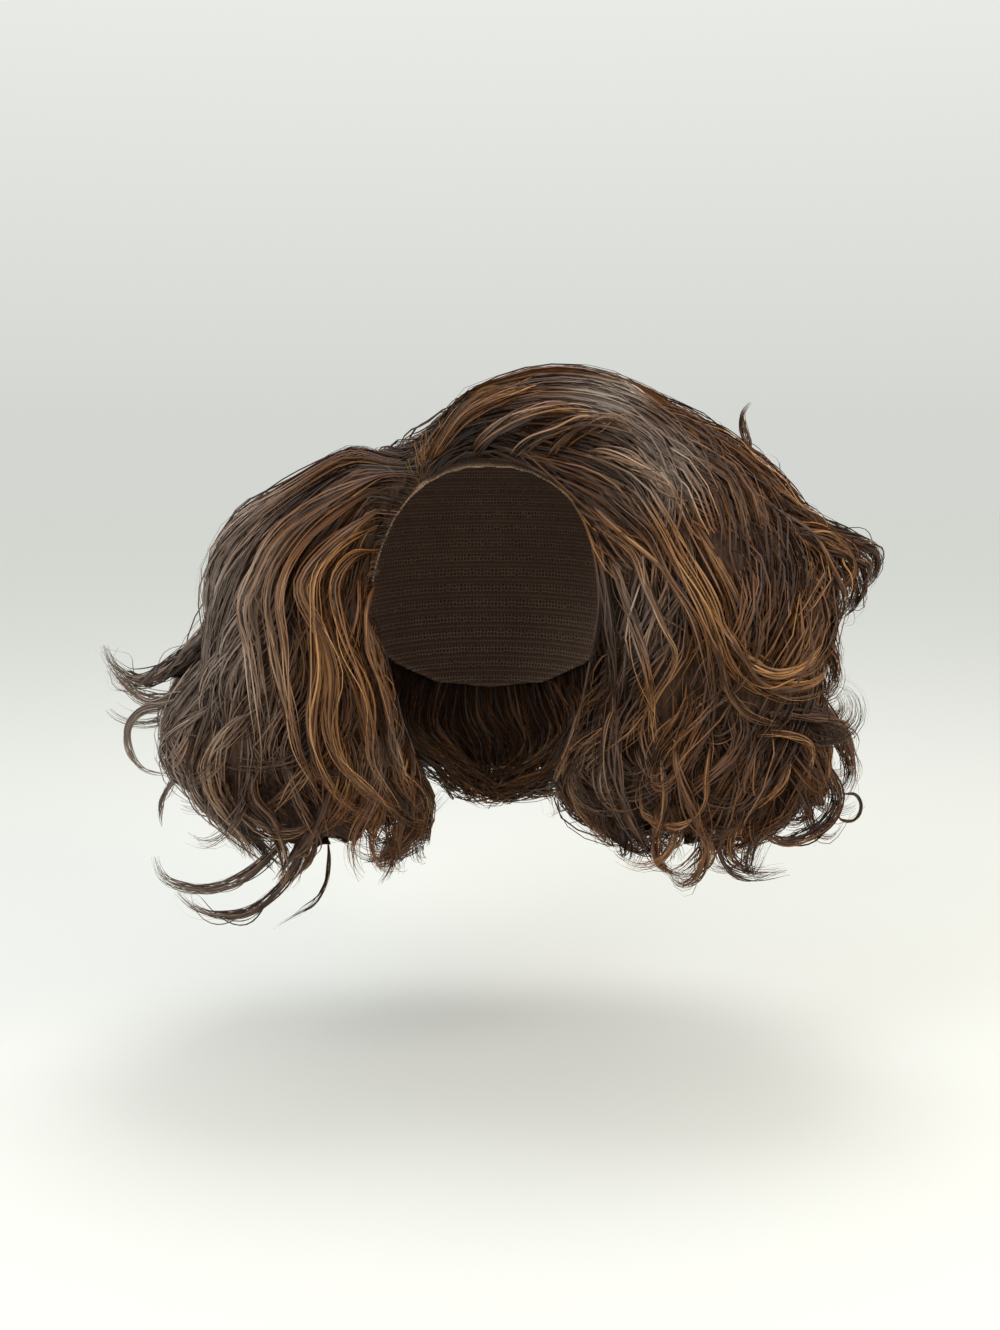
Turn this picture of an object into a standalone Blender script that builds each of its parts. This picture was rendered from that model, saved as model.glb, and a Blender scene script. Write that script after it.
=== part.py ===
"""A lace front wig: a lace strip along the hairline, a net cap, and four masses of wavy hair on them.

The wearer faces -Y, so +X is the wearer's left. The origin is the inside of the cap's crown, where the
wig sits on a head. The head space below it stays open towards the face and the neck.
"""

import math
from collections import namedtuple

import bmesh
import bpy
from mathutils import Vector

# The head that the cap fits, in metres
HEAD_WIDTH = 0.144
HEAD_DEPTH = 0.184
CROWN_DROP = 0.100  # from the crown down to the head's widest ring

# Cloth walls, and the gap between pieces that lie on each other
CAP_WALL = 0.0012
LACE_WALL = 0.0010
LAY_GAP = 0.0003

# The lace strip, and how much of it shows in front of the hair's roots
LACE_STRIP = 0.022
LACE_SHOW = 0.004
LACE_END = 70.0  # degrees round from the middle of the forehead

# How far the hair reaches from the origin: to each side, forward, back, up and down
REACH_RIGHT = 0.208
REACH_LEFT = 0.212
REACH_FRONT = 0.095
REACH_BACK = 0.133
RISE = 0.029
DROP = 0.268

# The oval that the hair leaves open for the face
FACE_WIDTH = 0.104
FACE_TOP = 0.022  # below the crown
FACE_WIDEST = 0.096  # below the crown
FACE_FULLNESS = 2.3  # 2 is an ellipse
NECK_WIDTH = 0.072
NECK_DEPTH = 0.110

# Below the cap's rim the head's space narrows to the neck. Each level's height is a share of DROP.
NeckLevel = namedtuple("NeckLevel", "down narrow")
NECK = [NeckLevel(0.68, 0.45), NeckLevel(0.77, 0.85), NeckLevel(0.85, 1.0)]

# Below the face's widest level the open space follows the cheeks: width as a share of FACE_WIDTH
CheekLevel = namedtuple("CheekLevel", "down wide")
CHEEKS = [
    CheekLevel(0.46, 0.98),
    CheekLevel(0.57, 0.86),
    CheekLevel(0.68, 0.66),
    CheekLevel(0.76, 0.60),
    CheekLevel(0.83, 0.62),
]

# The waves and locks in the hair's surface
LOCK_GROOVE = 0.0075
LOCK_COUNT = 8  # round one mass
WAVE_DEPTH = 0.0040
WAVE_LENGTH = 0.062
FULL_RELIEF = 0.035  # the half thickness from which a mass has the full waves and grooves
RELIEF_START = 0.12  # the run over which they grow from the parting
SWAY = 0.16  # how far a lock sways to the side in a wave, in radians
SECTION_FULLNESS = 2.4

# Mesh resolution
RING_POINTS = 40
RING_SPACING = 0.0145  # along a mass
LOCK_SIDES = 6
LOCK_RINGS = 9
CAP_ROWS = 7
LACE_ROWS = 3
HEAD_SEGMENTS = 48
FACE_POINTS = 24
BIG = 0.6  # larger than the wig, for cutters

HAIR_BROWN = (0.115, 0.047, 0.020, 1.0)
CAP_BROWN = (0.060, 0.032, 0.020, 1.0)
LACE_BROWN = (0.330, 0.200, 0.120, 1.0)

# The cap's rim: degrees round from the forehead, and degrees down from the crown
RimPoint = namedtuple("RimPoint", "round down")
RIM = [
    RimPoint(0, 39.0),
    RimPoint(14, 39.5),
    RimPoint(27, 42.0),
    RimPoint(37, 46.0),
    RimPoint(46, 52.0),
    RimPoint(52, 60.0),
    RimPoint(56, 70.0),
    RimPoint(59, 82.0),
    RimPoint(64, 96.0),
    RimPoint(72, 108.0),
    RimPoint(78, 110.0),
    RimPoint(84, 103.0),
    RimPoint(94, 98.0),
    RimPoint(108, 102.0),
    RimPoint(125, 112.0),
    RimPoint(150, 121.0),
    RimPoint(180, 124.0),
]

# Sections through the side masses. All numbers are shares of the reaches above: -1 to 1 is from the
# wearer's right to left, from front to back, and from the lowest to the highest hair. A section runs
# from its outer point to its inner point, and from its front to its back.
Section = namedtuple("Section", "outer_x outer_z inner_x inner_z front back")
LEFT_SWEEP = [
    Section(-0.176, -0.045, -0.172, -0.22, -0.68, 0.36),
    Section(-0.110, 0.20, -0.100, -0.22, -0.72, 0.44),
    Section(0.015, 0.74, -0.020, -0.22, -0.75, 0.50),
    Section(0.150, 1.00, 0.035, -0.22, -0.78, 0.54),
    Section(0.305, 0.87, 0.095, -0.23, -0.83, 0.60),
    Section(0.465, 0.40, 0.130, -0.25, -0.88, 0.64),
    Section(0.605, -0.045, 0.160, -0.29, -0.92, 0.68),
    Section(0.735, -0.145, 0.175, -0.34, -0.95, 0.71),
    Section(0.825, -0.25, 0.185, -0.40, -0.97, 0.73),
    Section(0.860, -0.37, 0.185, -0.46, -0.99, 0.74),
    Section(0.865, -0.49, 0.180, -0.52, -1.00, 0.74),
    Section(0.855, -0.60, 0.160, -0.60, -0.99, 0.73),
    Section(0.835, -0.70, 0.165, -0.69, -0.95, 0.71),
    Section(0.790, -0.785, 0.260, -0.77, -0.88, 0.68),
    Section(0.690, -0.845, 0.360, -0.83, -0.74, 0.58),
    Section(0.580, -0.875, 0.470, -0.87, -0.44, 0.36),
]
CROWN_SECTIONS = 6  # the crown's mass ends and the left side's begins at this section

RIGHT_SWEEP = [
    Section(-0.182, -0.03, -0.180, -0.22, -0.66, 0.40),
    Section(-0.295, -0.055, -0.198, -0.25, -0.70, 0.50),
    Section(-0.418, -0.08, -0.208, -0.28, -0.74, 0.56),
    Section(-0.535, -0.125, -0.213, -0.32, -0.80, 0.61),
    Section(-0.635, -0.185, -0.213, -0.37, -0.85, 0.65),
    Section(-0.705, -0.270, -0.213, -0.42, -0.89, 0.67),
    Section(-0.745, -0.36, -0.208, -0.48, -0.92, 0.69),
    Section(-0.785, -0.455, -0.205, -0.54, -0.93, 0.70),
    Section(-0.830, -0.555, -0.195, -0.62, -0.93, 0.70),
    Section(-0.845, -0.65, -0.180, -0.70, -0.91, 0.69),
    Section(-0.800, -0.74, -0.160, -0.77, -0.85, 0.66),
    Section(-0.710, -0.82, -0.190, -0.83, -0.74, 0.60),
    Section(-0.545, -0.87, -0.285, -0.87, -0.55, 0.46),
    Section(-0.455, -0.895, -0.390, -0.895, -0.32, 0.26),
]

# Sections through the mass at the back, in the same shares, and how far the right end hangs down
BackSection = namedtuple("BackSection", "outer_y outer_z inner_y inner_z right left hang")
BACK_SWEEP = [
    BackSection(0.110, 0.78, 0.060, -0.22, -0.24, 0.36, 0.17),
    BackSection(0.360, 0.60, 0.120, -0.235, -0.42, 0.50, 0.18),
    BackSection(0.600, 0.02, 0.160, -0.265, -0.56, 0.61, 0.14),
    BackSection(0.800, -0.12, 0.180, -0.31, -0.66, 0.70, 0.09),
    BackSection(0.920, -0.20, 0.190, -0.36, -0.70, 0.77, 0.04),
    BackSection(0.980, -0.31, 0.200, -0.42, -0.75, 0.80, 0.02),
    BackSection(1.000, -0.42, 0.200, -0.48, -0.78, 0.81, 0.0),
    BackSection(0.992, -0.53, 0.200, -0.55, -0.79, 0.81, 0.0),
    BackSection(0.962, -0.63, 0.200, -0.63, -0.77, 0.79, 0.0),
    BackSection(0.890, -0.71, 0.230, -0.70, -0.69, 0.72, 0.0),
    BackSection(0.780, -0.765, 0.330, -0.76, -0.53, 0.57, 0.0),
    BackSection(0.690, -0.79, 0.480, -0.79, -0.32, 0.34, 0.0),
]

# Where the mass at the back meets the sides: one point at the crown, and a slope to each side
SEAM_X = -0.180
SEAM_Y = 0.190
SEAM_SLOPE_LEFT = 0.20
SEAM_SLOPE_RIGHT = 0.33

# Locks that stand out of the masses: four points as shares, and the thickness at the root as a share
# of DROP
Lock = namedtuple("Lock", "home root belly bend tip thick")
LOCKS = [
    # The flick at the wearer's right, and the long thin locks below it
    Lock("hair_right", (-0.66, -0.25, -0.34), (-0.80, -0.28, -0.48), (-0.905, -0.30, -0.50), (-0.968, -0.31, -0.445), 0.082),
    Lock("hair_right", (-0.46, -0.40, -0.80), (-0.65, -0.42, -0.885), (-0.784, -0.42, -0.91), (-0.843, -0.42, -0.865), 0.041),
    Lock("hair_right", (-0.38, -0.45, -0.82), (-0.57, -0.46, -0.93), (-0.70, -0.46, -0.965), (-0.79, -0.45, -0.92), 0.045),
    Lock("hair_right", (-0.70, -0.05, -0.56), (-0.75, -0.05, -0.72), (-0.70, -0.05, -0.81), (-0.60, -0.05, -0.86), 0.097),
    Lock("hair_right", (-0.52, -0.55, -0.66), (-0.56, -0.58, -0.79), (-0.49, -0.56, -0.865), (-0.38, -0.52, -0.88), 0.097),
    Lock("hair_right", (-0.39, -0.60, -0.62), (-0.35, -0.66, -0.76), (-0.32, -0.64, -0.835), (-0.38, -0.56, -0.87), 0.090),
    Lock("hair_right", (-0.38, -0.54, -0.50), (-0.27, -0.68, -0.66), (-0.20, -0.66, -0.745), (-0.16, -0.58, -0.775), 0.075),
    Lock("hair_right", (-0.55, 0.25, -0.66), (-0.60, 0.30, -0.78), (-0.52, 0.34, -0.86), (-0.40, 0.34, -0.87), 0.097),
    # The curls at the wearer's left, and the upright flick above them
    Lock("hair_left", (0.62, -0.26, -0.22), (0.82, -0.32, -0.215), (0.915, -0.33, -0.265), (0.885, -0.34, -0.355), 0.090),
    Lock("hair_left", (0.74, -0.30, -0.50), (0.83, -0.32, -0.62), (0.85, -0.34, -0.735), (0.76, -0.36, -0.78), 0.104),
    Lock("hair_left", (0.76, -0.38, -0.70), (0.845, -0.40, -0.765), (0.825, -0.40, -0.825), (0.68, -0.40, -0.83), 0.045),
    Lock("hair_left", (0.56, -0.50, -0.66), (0.665, -0.54, -0.78), (0.69, -0.52, -0.845), (0.60, -0.48, -0.86), 0.097),
    Lock("hair_left", (0.48, -0.62, -0.62), (0.53, -0.70, -0.765), (0.50, -0.66, -0.85), (0.42, -0.58, -0.85), 0.097),
    Lock("hair_left", (0.31, -0.64, -0.60), (0.33, -0.72, -0.715), (0.36, -0.66, -0.795), (0.43, -0.58, -0.83), 0.090),
    Lock("hair_left", (0.58, 0.25, -0.66), (0.66, 0.30, -0.78), (0.60, 0.34, -0.86), (0.48, 0.32, -0.87), 0.097),
    Lock("hair_crown", (0.50, -0.12, -0.05), (0.580, -0.12, -0.015), (0.622, -0.12, 0.06), (0.640, -0.12, 0.34), 0.037),
    # The ends at the back
    Lock("hair_back", (-0.42, 0.72, -0.62), (-0.48, 0.80, -0.73), (-0.42, 0.78, -0.80), (-0.30, 0.72, -0.81), 0.104),
    Lock("hair_back", (-0.16, 0.76, -0.64), (-0.14, 0.84, -0.75), (-0.06, 0.82, -0.82), (0.04, 0.76, -0.80), 0.104),
    Lock("hair_back", (0.20, 0.76, -0.64), (0.28, 0.82, -0.75), (0.34, 0.80, -0.82), (0.44, 0.74, -0.80), 0.104),
    Lock("hair_back", (0.54, 0.66, -0.60), (0.66, 0.72, -0.71), (0.68, 0.72, -0.78), (0.58, 0.70, -0.80), 0.097),
    Lock("hair_back", (-0.62, 0.62, -0.58), (-0.70, 0.66, -0.68), (-0.68, 0.66, -0.75), (-0.58, 0.64, -0.77), 0.090),
]


def place(x, y, z):
    """A point from shares of the hair's reaches."""
    return Vector((
        x * (REACH_LEFT if x > 0 else REACH_RIGHT),
        y * (REACH_BACK if y > 0 else REACH_FRONT),
        z * (RISE if z > 0 else DROP),
    ))


def smooth_step(value):
    value = min(1.0, max(0.0, value))
    return value * value * (3 - 2 * value)


def blend_rows(rows, at):
    """The row at a place between rows, on a smooth curve through all of them."""
    index = min(int(at), len(rows) - 2)
    t = at - index
    before, start, end, after = (
        rows[min(max(index + step, 0), len(rows) - 1)] for step in (-1, 0, 1, 2)
    )
    return [
        0.5 * (2 * b + (c - a) * t + (2 * a - 5 * b + 4 * c - d) * t * t + (3 * b - a - 3 * c + d) * t ** 3)
        for a, b, c, d in zip(before, start, end, after)
    ]


def empty_collection(name):
    collection = bpy.data.collections.new(name)
    bpy.context.scene.collection.children.link(collection)
    return collection


def material(name, colour, roughness):
    made = bpy.data.materials.new(name)
    made.use_nodes = True
    shader = made.node_tree.nodes["Principled BSDF"]
    shader.inputs["Base Color"].default_value = colour
    shader.inputs["Roughness"].default_value = roughness
    shader.inputs["Metallic"].default_value = 0.0
    return made


def new_object(name, mesh, collection, finish=None):
    made = bpy.data.objects.new(name, mesh)
    collection.objects.link(made)
    if finish:
        mesh.materials.append(finish)
        mesh.shade_smooth()
    else:
        made.hide_render = True
        made.display_type = "WIRE"
    return made


def mesh_of_rings(name, rings, trims=()):
    """A closed mesh through rings of points, with a flat face at each end, cut off flat at each trim."""
    body = bmesh.new()
    rows = [[body.verts.new(point) for point in ring] for ring in rings]
    count = len(rings[0])
    for row, following in zip(rows, rows[1:]):
        for i in range(count):
            j = (i + 1) % count
            body.faces.new((row[i], row[j], following[j], following[i]))
    body.faces.new(reversed(rows[0]))
    body.faces.new(rows[-1])
    for trim in trims:
        geometry = body.verts[:] + body.edges[:] + body.faces[:]
        bmesh.ops.bisect_plane(
            body, geom=geometry, dist=1e-6, plane_co=trim.point, plane_no=trim.outward, clear_outer=True
        )
        bmesh.ops.holes_fill(body, edges=[edge for edge in body.edges if edge.is_boundary])
    bmesh.ops.recalc_face_normals(body, faces=body.faces)
    if body.calc_volume(signed=True) < 0:
        bmesh.ops.reverse_faces(body, faces=body.faces)
    bmesh.ops.triangulate(body, faces=[face for face in body.faces if len(face.verts) > 4])
    mesh = bpy.data.meshes.new(name)
    body.to_mesh(mesh)
    body.free()
    return mesh


# The head, the cap and the lace


def head_point(round_deg, down_deg, proud=0.0):
    """A point on the head, or so far outside it. The crown is the origin."""
    around, down = math.radians(round_deg), math.radians(down_deg)
    return Vector((
        (HEAD_WIDTH / 2 + proud) * math.sin(down) * math.sin(around),
        -(HEAD_DEPTH / 2 + proud) * math.sin(down) * math.cos(around),
        (CROWN_DROP + proud) * math.cos(down) - CROWN_DROP,
    ))


def rim_down(round_deg):
    """How far down the rim lies, at a place round the head."""
    side = abs(round_deg)
    index = max(i for i, point in enumerate(RIM[:-1]) if point.round <= side)
    share = (side - RIM[index].round) / (RIM[index + 1].round - RIM[index].round)
    return blend_rows(RIM, index + share)[1]


def strip_angle():
    """The lace strip's width as an angle on the head."""
    return math.degrees(LACE_STRIP / (HEAD_DEPTH / 2))


def lace_gap_angle():
    return math.degrees(LAY_GAP / (HEAD_WIDTH / 2)) * 1.3


def rounds_between(start, end):
    """Places round the head, at the rim's own points and halfway between them."""
    sides = sorted({p.round for p in RIM} | {(a.round + b.round) / 2 for a, b in zip(RIM, RIM[1:])})
    both = sorted({-s for s in sides} | set(sides))
    return [start] + [r for r in both if start + 1 < r < end - 1] + [end]


def cloth_mesh(name, columns, closed, crown):
    """An open sheet through columns of points, each from the crown's side down to the rim."""
    body = bmesh.new()
    grid = [[body.verts.new(point) for point in column] for column in columns]
    pairs = list(zip(grid, grid[1:])) + ([(grid[-1], grid[0])] if closed else [])
    for left, right in pairs:
        for row in range(len(left) - 1):
            body.faces.new((left[row], left[row + 1], right[row + 1], right[row]))
    if crown:
        top = body.verts.new(head_point(0, 0))
        for left, right in pairs:
            body.faces.new((top, left[0], right[0]))
    bmesh.ops.recalc_face_normals(body, faces=body.faces)
    middle = Vector((0, 0, -CROWN_DROP))
    if sum((f.calc_center_median() - middle).dot(f.normal) for f in body.faces) < 0:
        bmesh.ops.reverse_faces(body, faces=body.faces)
    mesh = bpy.data.meshes.new(name)
    body.to_mesh(mesh)
    body.free()
    return mesh


def thicken(sheet, wall):
    solid = sheet.modifiers.new("wall", "SOLIDIFY")
    solid.thickness = wall
    solid.offset = 1.0
    solid.use_even_offset = True


def make_cap(collection, finish):
    """The net cap: it fills the head's top and back, behind the lace strip."""
    end, gap = LACE_END, lace_gap_angle()
    fronts = rounds_between(-end, end)
    backs = [r % 360 for r in rounds_between(-180, 180) if abs(r) > end + gap + 1]
    backs = sorted({end + gap, 360 - end - gap} | set(backs))
    columns = []
    for round_deg in fronts + backs:
        signed = round_deg - 360 if round_deg > 180 else round_deg
        down = rim_down(signed)
        if abs(signed) <= end:
            down -= strip_angle() + gap
        columns.append([
            head_point(signed, down * row / CAP_ROWS) for row in range(1, CAP_ROWS + 1)
        ])
    cap = new_object("wig_cap", cloth_mesh("wig_cap", columns, True, True), collection, finish)
    thicken(cap, CAP_WALL)


def make_lace(collection, finish):
    """The lace strip along the hairline, from temple to temple."""
    end = LACE_END - lace_gap_angle()
    columns = []
    for round_deg in rounds_between(-end, end):
        down = rim_down(round_deg)
        columns.append([
            head_point(round_deg, down - strip_angle() * (1 - row / LACE_ROWS))
            for row in range(LACE_ROWS + 1)
        ])
    mesh = cloth_mesh("lace_front", columns, False, False)
    thicken(new_object("lace_front", mesh, collection, finish), LACE_WALL)


# The hair


def superellipse(angle, fullness):
    """Cosine and sine, drawn out towards a box's corners."""
    power = 2 / fullness
    return tuple(math.copysign(abs(f(angle)) ** power, f(angle)) for f in (math.cos, math.sin))


def section_frame(row, across_x):
    """A section's middle and its two half axes, outwards and sideways."""
    if across_x:
        outer, inner = place(0, row[0], row[1]), place(0, row[2], row[3])
        low, high = place(row[4], 0, 0), place(row[5], 0, 0)
    else:
        outer, inner = place(row[0], 0, row[1]), place(row[2], 0, row[3])
        low, high = place(0, row[4], 0), place(0, row[5], 0)
    return (outer + inner + low + high) / 2, (outer - inner) / 2, (high - low) / 2


def hair_ring(row, along, growth, across_x):
    """One ring of a hair mass: a full oval with a groove between its locks, which sway in waves."""
    middle, outward, sideways = section_frame(row, across_x)
    growth *= min(1.0, outward.length / FULL_RELIEF)
    phase = 2 * math.pi * along / WAVE_LENGTH
    ring = []
    for i in range(RING_POINTS):
        angle = 2 * math.pi * i / RING_POINTS
        cosine, sine = superellipse(angle, SECTION_FULLNESS)
        spoke = outward * cosine + sideways * sine
        swayed = angle + SWAY * growth * math.sin(phase + 2 * angle)
        groove = LOCK_GROOVE * growth * (1 - abs(math.sin(swayed * LOCK_COUNT / 2)))
        wave = WAVE_DEPTH * growth * math.sin(phase + 3 * math.sin(angle))
        hang = Vector((0, 0, DROP * row[6] * max(0, -sine) ** 2)) if across_x else Vector()
        ring.append(middle + spoke + spoke.normalized() * (wave - groove) - hang)
    return ring


def sweep_rings(sections, first, last, across_x):
    """Evenly spaced rings through some of a sweep's sections."""
    steps = 8
    places = [i / steps for i in range((len(sections) - 1) * steps + 1)]
    middles = [section_frame(blend_rows(sections, at), across_x)[0] for at in places]
    run = [0.0]
    for a, b in zip(middles, middles[1:]):
        run.append(run[-1] + (b - a).length)
    start, end = run[first * steps], run[last * steps]
    count = max(4, round((end - start) / RING_SPACING))
    rings = []
    for i in range(count + 1):
        along = start + (end - start) * i / count
        index = max(k for k, length in enumerate(run[:-1]) if length <= along + 1e-9)
        at = places[index] + (along - run[index]) / (run[index + 1] - run[index]) / steps
        growth = 0.25 + 0.75 * smooth_step(along / RELIEF_START)
        rings.append(hair_ring(blend_rows(sections, at), along, growth, across_x))
    return rings


def shifted(rings, index, distance):
    """The rings with one of them moved square to its own plane, towards the sweep's end."""
    ring = rings[index]
    toward = rings[index + 1] if index == 0 else ring
    origin = rings[index] if index == 0 else rings[index - 1]
    count = len(ring)
    normal = (ring[count // 4] - ring[0]).cross(ring[count // 2] - ring[0]).normalized()
    step = sum((b - a for a, b in zip(origin, toward)), Vector())
    normal = normal if normal.dot(step) > 0 else -normal
    rings[index] = [point + normal * distance for point in ring]
    return rings


def lock_mesh(lock):
    """A tapered lock on a smooth curve through its four points."""
    route = [place(*p) for p in (lock.root, lock.belly, lock.bend, lock.tip)]
    points = [Vector(blend_rows(route, 3 * i / LOCK_RINGS)) for i in range(LOCK_RINGS + 1)]
    rings = []
    side = Vector((0, 1, 0))
    for i, point in enumerate(points):
        ahead = points[min(i + 1, LOCK_RINGS)] - points[max(i - 1, 0)]
        out = ahead.cross(side).normalized()
        across = out.cross(ahead).normalized()
        share = i / LOCK_RINGS
        half = lock.thick * DROP / 2 * (1 - 0.78 * share ** 1.6)
        rings.append([
            point + (out * math.cos(a) + across * math.sin(a) * 1.25) * half
            for a in (2 * math.pi * k / LOCK_SIDES for k in range(LOCK_SIDES))
        ])
    return mesh_of_rings("lock", rings)


def boolean(target, operation, other=None, others=None):
    change = target.modifiers.new(operation.lower(), "BOOLEAN")
    change.operation = operation
    change.solver = "EXACT"
    if others:
        change.operand_type = "COLLECTION"
        change.collection = others
    else:
        change.object = other


# The spaces that the hair leaves open


def make_head_cutter(collection):
    """The space of the head and the cap, which narrows to the neck. Its flats clear the cap's surface."""
    wall = max(CAP_WALL, LACE_WALL) + LAY_GAP
    clear = 1 / math.cos(math.pi / HEAD_SEGMENTS) ** 2
    half, deep, tall = (
        (size + wall) * clear for size in (HEAD_WIDTH / 2, HEAD_DEPTH / 2, CROWN_DROP)
    )
    step = 360 / HEAD_SEGMENTS
    lowest = max(point.down for point in RIM) + step
    downs = [2, step / 2] + [step * i for i in range(1, math.ceil(lowest / step))]
    rings = []
    for down in downs:
        sine, cosine = math.sin(math.radians(down)), math.cos(math.radians(down))
        rings.append(oval_ring(half * sine, deep * sine, tall * cosine - CROWN_DROP))
    half, deep = half * sine, deep * sine
    for level in NECK:
        width = half + (NECK_WIDTH / 2 - half) * level.narrow
        depth = deep + (NECK_DEPTH / 2 - deep) * level.narrow
        rings.append(oval_ring(width, depth, -DROP * level.down))
    rings.append(oval_ring(NECK_WIDTH / 2, NECK_DEPTH / 2, -BIG))
    return new_object("head_space", mesh_of_rings("head_space", rings), collection)


def oval_ring(half_width, half_depth, height):
    turns = (2 * math.pi * i / HEAD_SEGMENTS for i in range(HEAD_SEGMENTS))
    return [Vector((half_width * math.cos(a), half_depth * math.sin(a), height)) for a in turns]


def make_face_cutter(collection):
    """The open oval in front of the face, with the sides' edges narrowing to the neck."""
    half, tall = FACE_WIDTH / 2 + LACE_SHOW, FACE_WIDEST - FACE_TOP + LACE_SHOW
    outline = []
    for i in range(FACE_POINTS + 1):
        cosine, sine = superellipse(math.pi * i / FACE_POINTS, FACE_FULLNESS)
        outline.append((half * cosine, tall * sine - FACE_WIDEST))
    cheeks = [(FACE_WIDTH / 2 * level.wide, -DROP * level.down) for level in CHEEKS]
    cheeks.append((cheeks[-1][0], -BIG * 0.9))
    outline += [(-x, z) for x, z in cheeks] + list(reversed(cheeks))
    rings = [[Vector((x, y, z)) for x, z in outline] for y in (-BIG, -HEAD_DEPTH * 0.10)]
    return new_object("face_space", mesh_of_rings("face_space", rings), collection)


Trim = namedtuple("Trim", "point outward")


def seam_trim(slope, to_left, keep_back):
    """The flat cut of one side's seam with the back, half the gap away from the seam."""
    outward = Vector((slope if to_left else -slope, -1, 0)).normalized()
    outward = outward if keep_back else -outward
    return Trim(place(SEAM_X, SEAM_Y, 0) - outward * LAY_GAP / 2, outward)


def make_hair(collection, helpers, finish):
    """The four masses of hair, each fused with its own locks and cut clear of the head and the face."""
    crown = sweep_rings(LEFT_SWEEP, 0, CROWN_SECTIONS, False)
    left = sweep_rings(LEFT_SWEEP, CROWN_SECTIONS, len(LEFT_SWEEP) - 1, False)
    front_left = [seam_trim(SEAM_SLOPE_LEFT, True, False)]
    front_right = [seam_trim(SEAM_SLOPE_RIGHT, False, False)]
    back = [seam_trim(SEAM_SLOPE_LEFT, True, True), seam_trim(SEAM_SLOPE_RIGHT, False, True)]
    masses = {
        "hair_crown": (shifted(crown, len(crown) - 1, -LAY_GAP / 2), front_left),
        "hair_left": (shifted(left, 0, LAY_GAP / 2), front_left),
        "hair_right": (sweep_rings(RIGHT_SWEEP, 0, len(RIGHT_SWEEP) - 1, False), front_right),
        "hair_back": (sweep_rings(BACK_SWEEP, 0, len(BACK_SWEEP) - 1, True), back),
    }
    spaces = [make_head_cutter(helpers), make_face_cutter(helpers)]
    for name, (rings, trims) in masses.items():
        hair = new_object(name, mesh_of_rings(name, rings, trims), collection, finish)
        tufts = empty_collection("locks_of_" + name)
        for lock in LOCKS:
            if lock.home == name:
                new_object("lock", lock_mesh(lock), tufts)
        boolean(hair, "UNION", others=tufts)
        for space in spaces:
            boolean(hair, "DIFFERENCE", other=space)


def main():
    for old in list(bpy.data.objects):
        bpy.data.objects.remove(old)
    wig = empty_collection("lace_front_wig")
    helpers = empty_collection("helpers")
    hair = material("hair", HAIR_BROWN, 0.45)
    make_cap(wig, material("cap_net", CAP_BROWN, 0.85))
    make_lace(wig, material("lace", LACE_BROWN, 0.80))
    make_hair(wig, helpers, hair)


main()
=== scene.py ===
"""Looks of the lace front wig: thousands of strands in locks, over a net cap and a lace strip.

The hair follows the same sections as the CAD solids. A sweep runs from the parting to the tips, and
each lock keeps to one lane of it, from a root on the scalp or the hairline to a curl at its end.
Lengths are in metres. The wearer faces -Y, so +X is the wearer's left.
"""

from __future__ import annotations

import logging
import math
from collections.abc import Mapping, Sequence
from dataclasses import dataclass, field
from enum import Enum
from typing import NamedTuple

import bmesh
import bpy
import numpy as np
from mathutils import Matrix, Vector
from mathutils.bvhtree import BVHTree

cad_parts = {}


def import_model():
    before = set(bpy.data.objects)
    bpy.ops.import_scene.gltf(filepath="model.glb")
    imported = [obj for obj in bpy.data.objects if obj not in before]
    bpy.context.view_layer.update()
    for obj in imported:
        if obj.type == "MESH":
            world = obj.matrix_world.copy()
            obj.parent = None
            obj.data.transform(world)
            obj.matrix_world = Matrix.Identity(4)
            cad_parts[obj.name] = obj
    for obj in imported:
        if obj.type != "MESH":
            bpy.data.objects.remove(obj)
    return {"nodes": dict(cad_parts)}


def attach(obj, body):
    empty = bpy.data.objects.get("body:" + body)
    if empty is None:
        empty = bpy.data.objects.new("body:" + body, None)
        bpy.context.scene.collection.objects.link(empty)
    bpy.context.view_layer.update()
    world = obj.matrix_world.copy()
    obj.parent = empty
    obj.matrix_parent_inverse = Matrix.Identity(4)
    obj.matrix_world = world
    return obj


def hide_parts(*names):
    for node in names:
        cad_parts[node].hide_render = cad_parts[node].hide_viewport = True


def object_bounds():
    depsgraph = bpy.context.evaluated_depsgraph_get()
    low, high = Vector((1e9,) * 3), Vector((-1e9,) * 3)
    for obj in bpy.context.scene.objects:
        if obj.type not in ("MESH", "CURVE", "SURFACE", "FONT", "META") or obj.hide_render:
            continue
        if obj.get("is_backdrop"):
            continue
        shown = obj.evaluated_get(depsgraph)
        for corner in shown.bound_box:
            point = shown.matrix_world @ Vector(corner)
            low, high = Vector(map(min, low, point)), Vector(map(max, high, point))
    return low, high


LOG = logging.getLogger("lace_front_wig")
Array = np.ndarray
MM = 1000  # millimetres in a metre


class Slot(Enum):
    """The record's material slots."""

    HAIR = "hair"
    CAP_NET = "cap_net"
    LACE = "lace"


class Section(NamedTuple):
    """A section of a side mass, in shares of the hair's reach."""

    outer_x: float
    outer_z: float
    inner_x: float
    inner_z: float
    front: float
    back: float


class BackSection(NamedTuple):
    """A section of the back mass, in shares of the hair's reach."""

    outer_y: float
    outer_z: float
    inner_y: float
    inner_z: float
    right: float
    left: float
    hang: float


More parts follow.
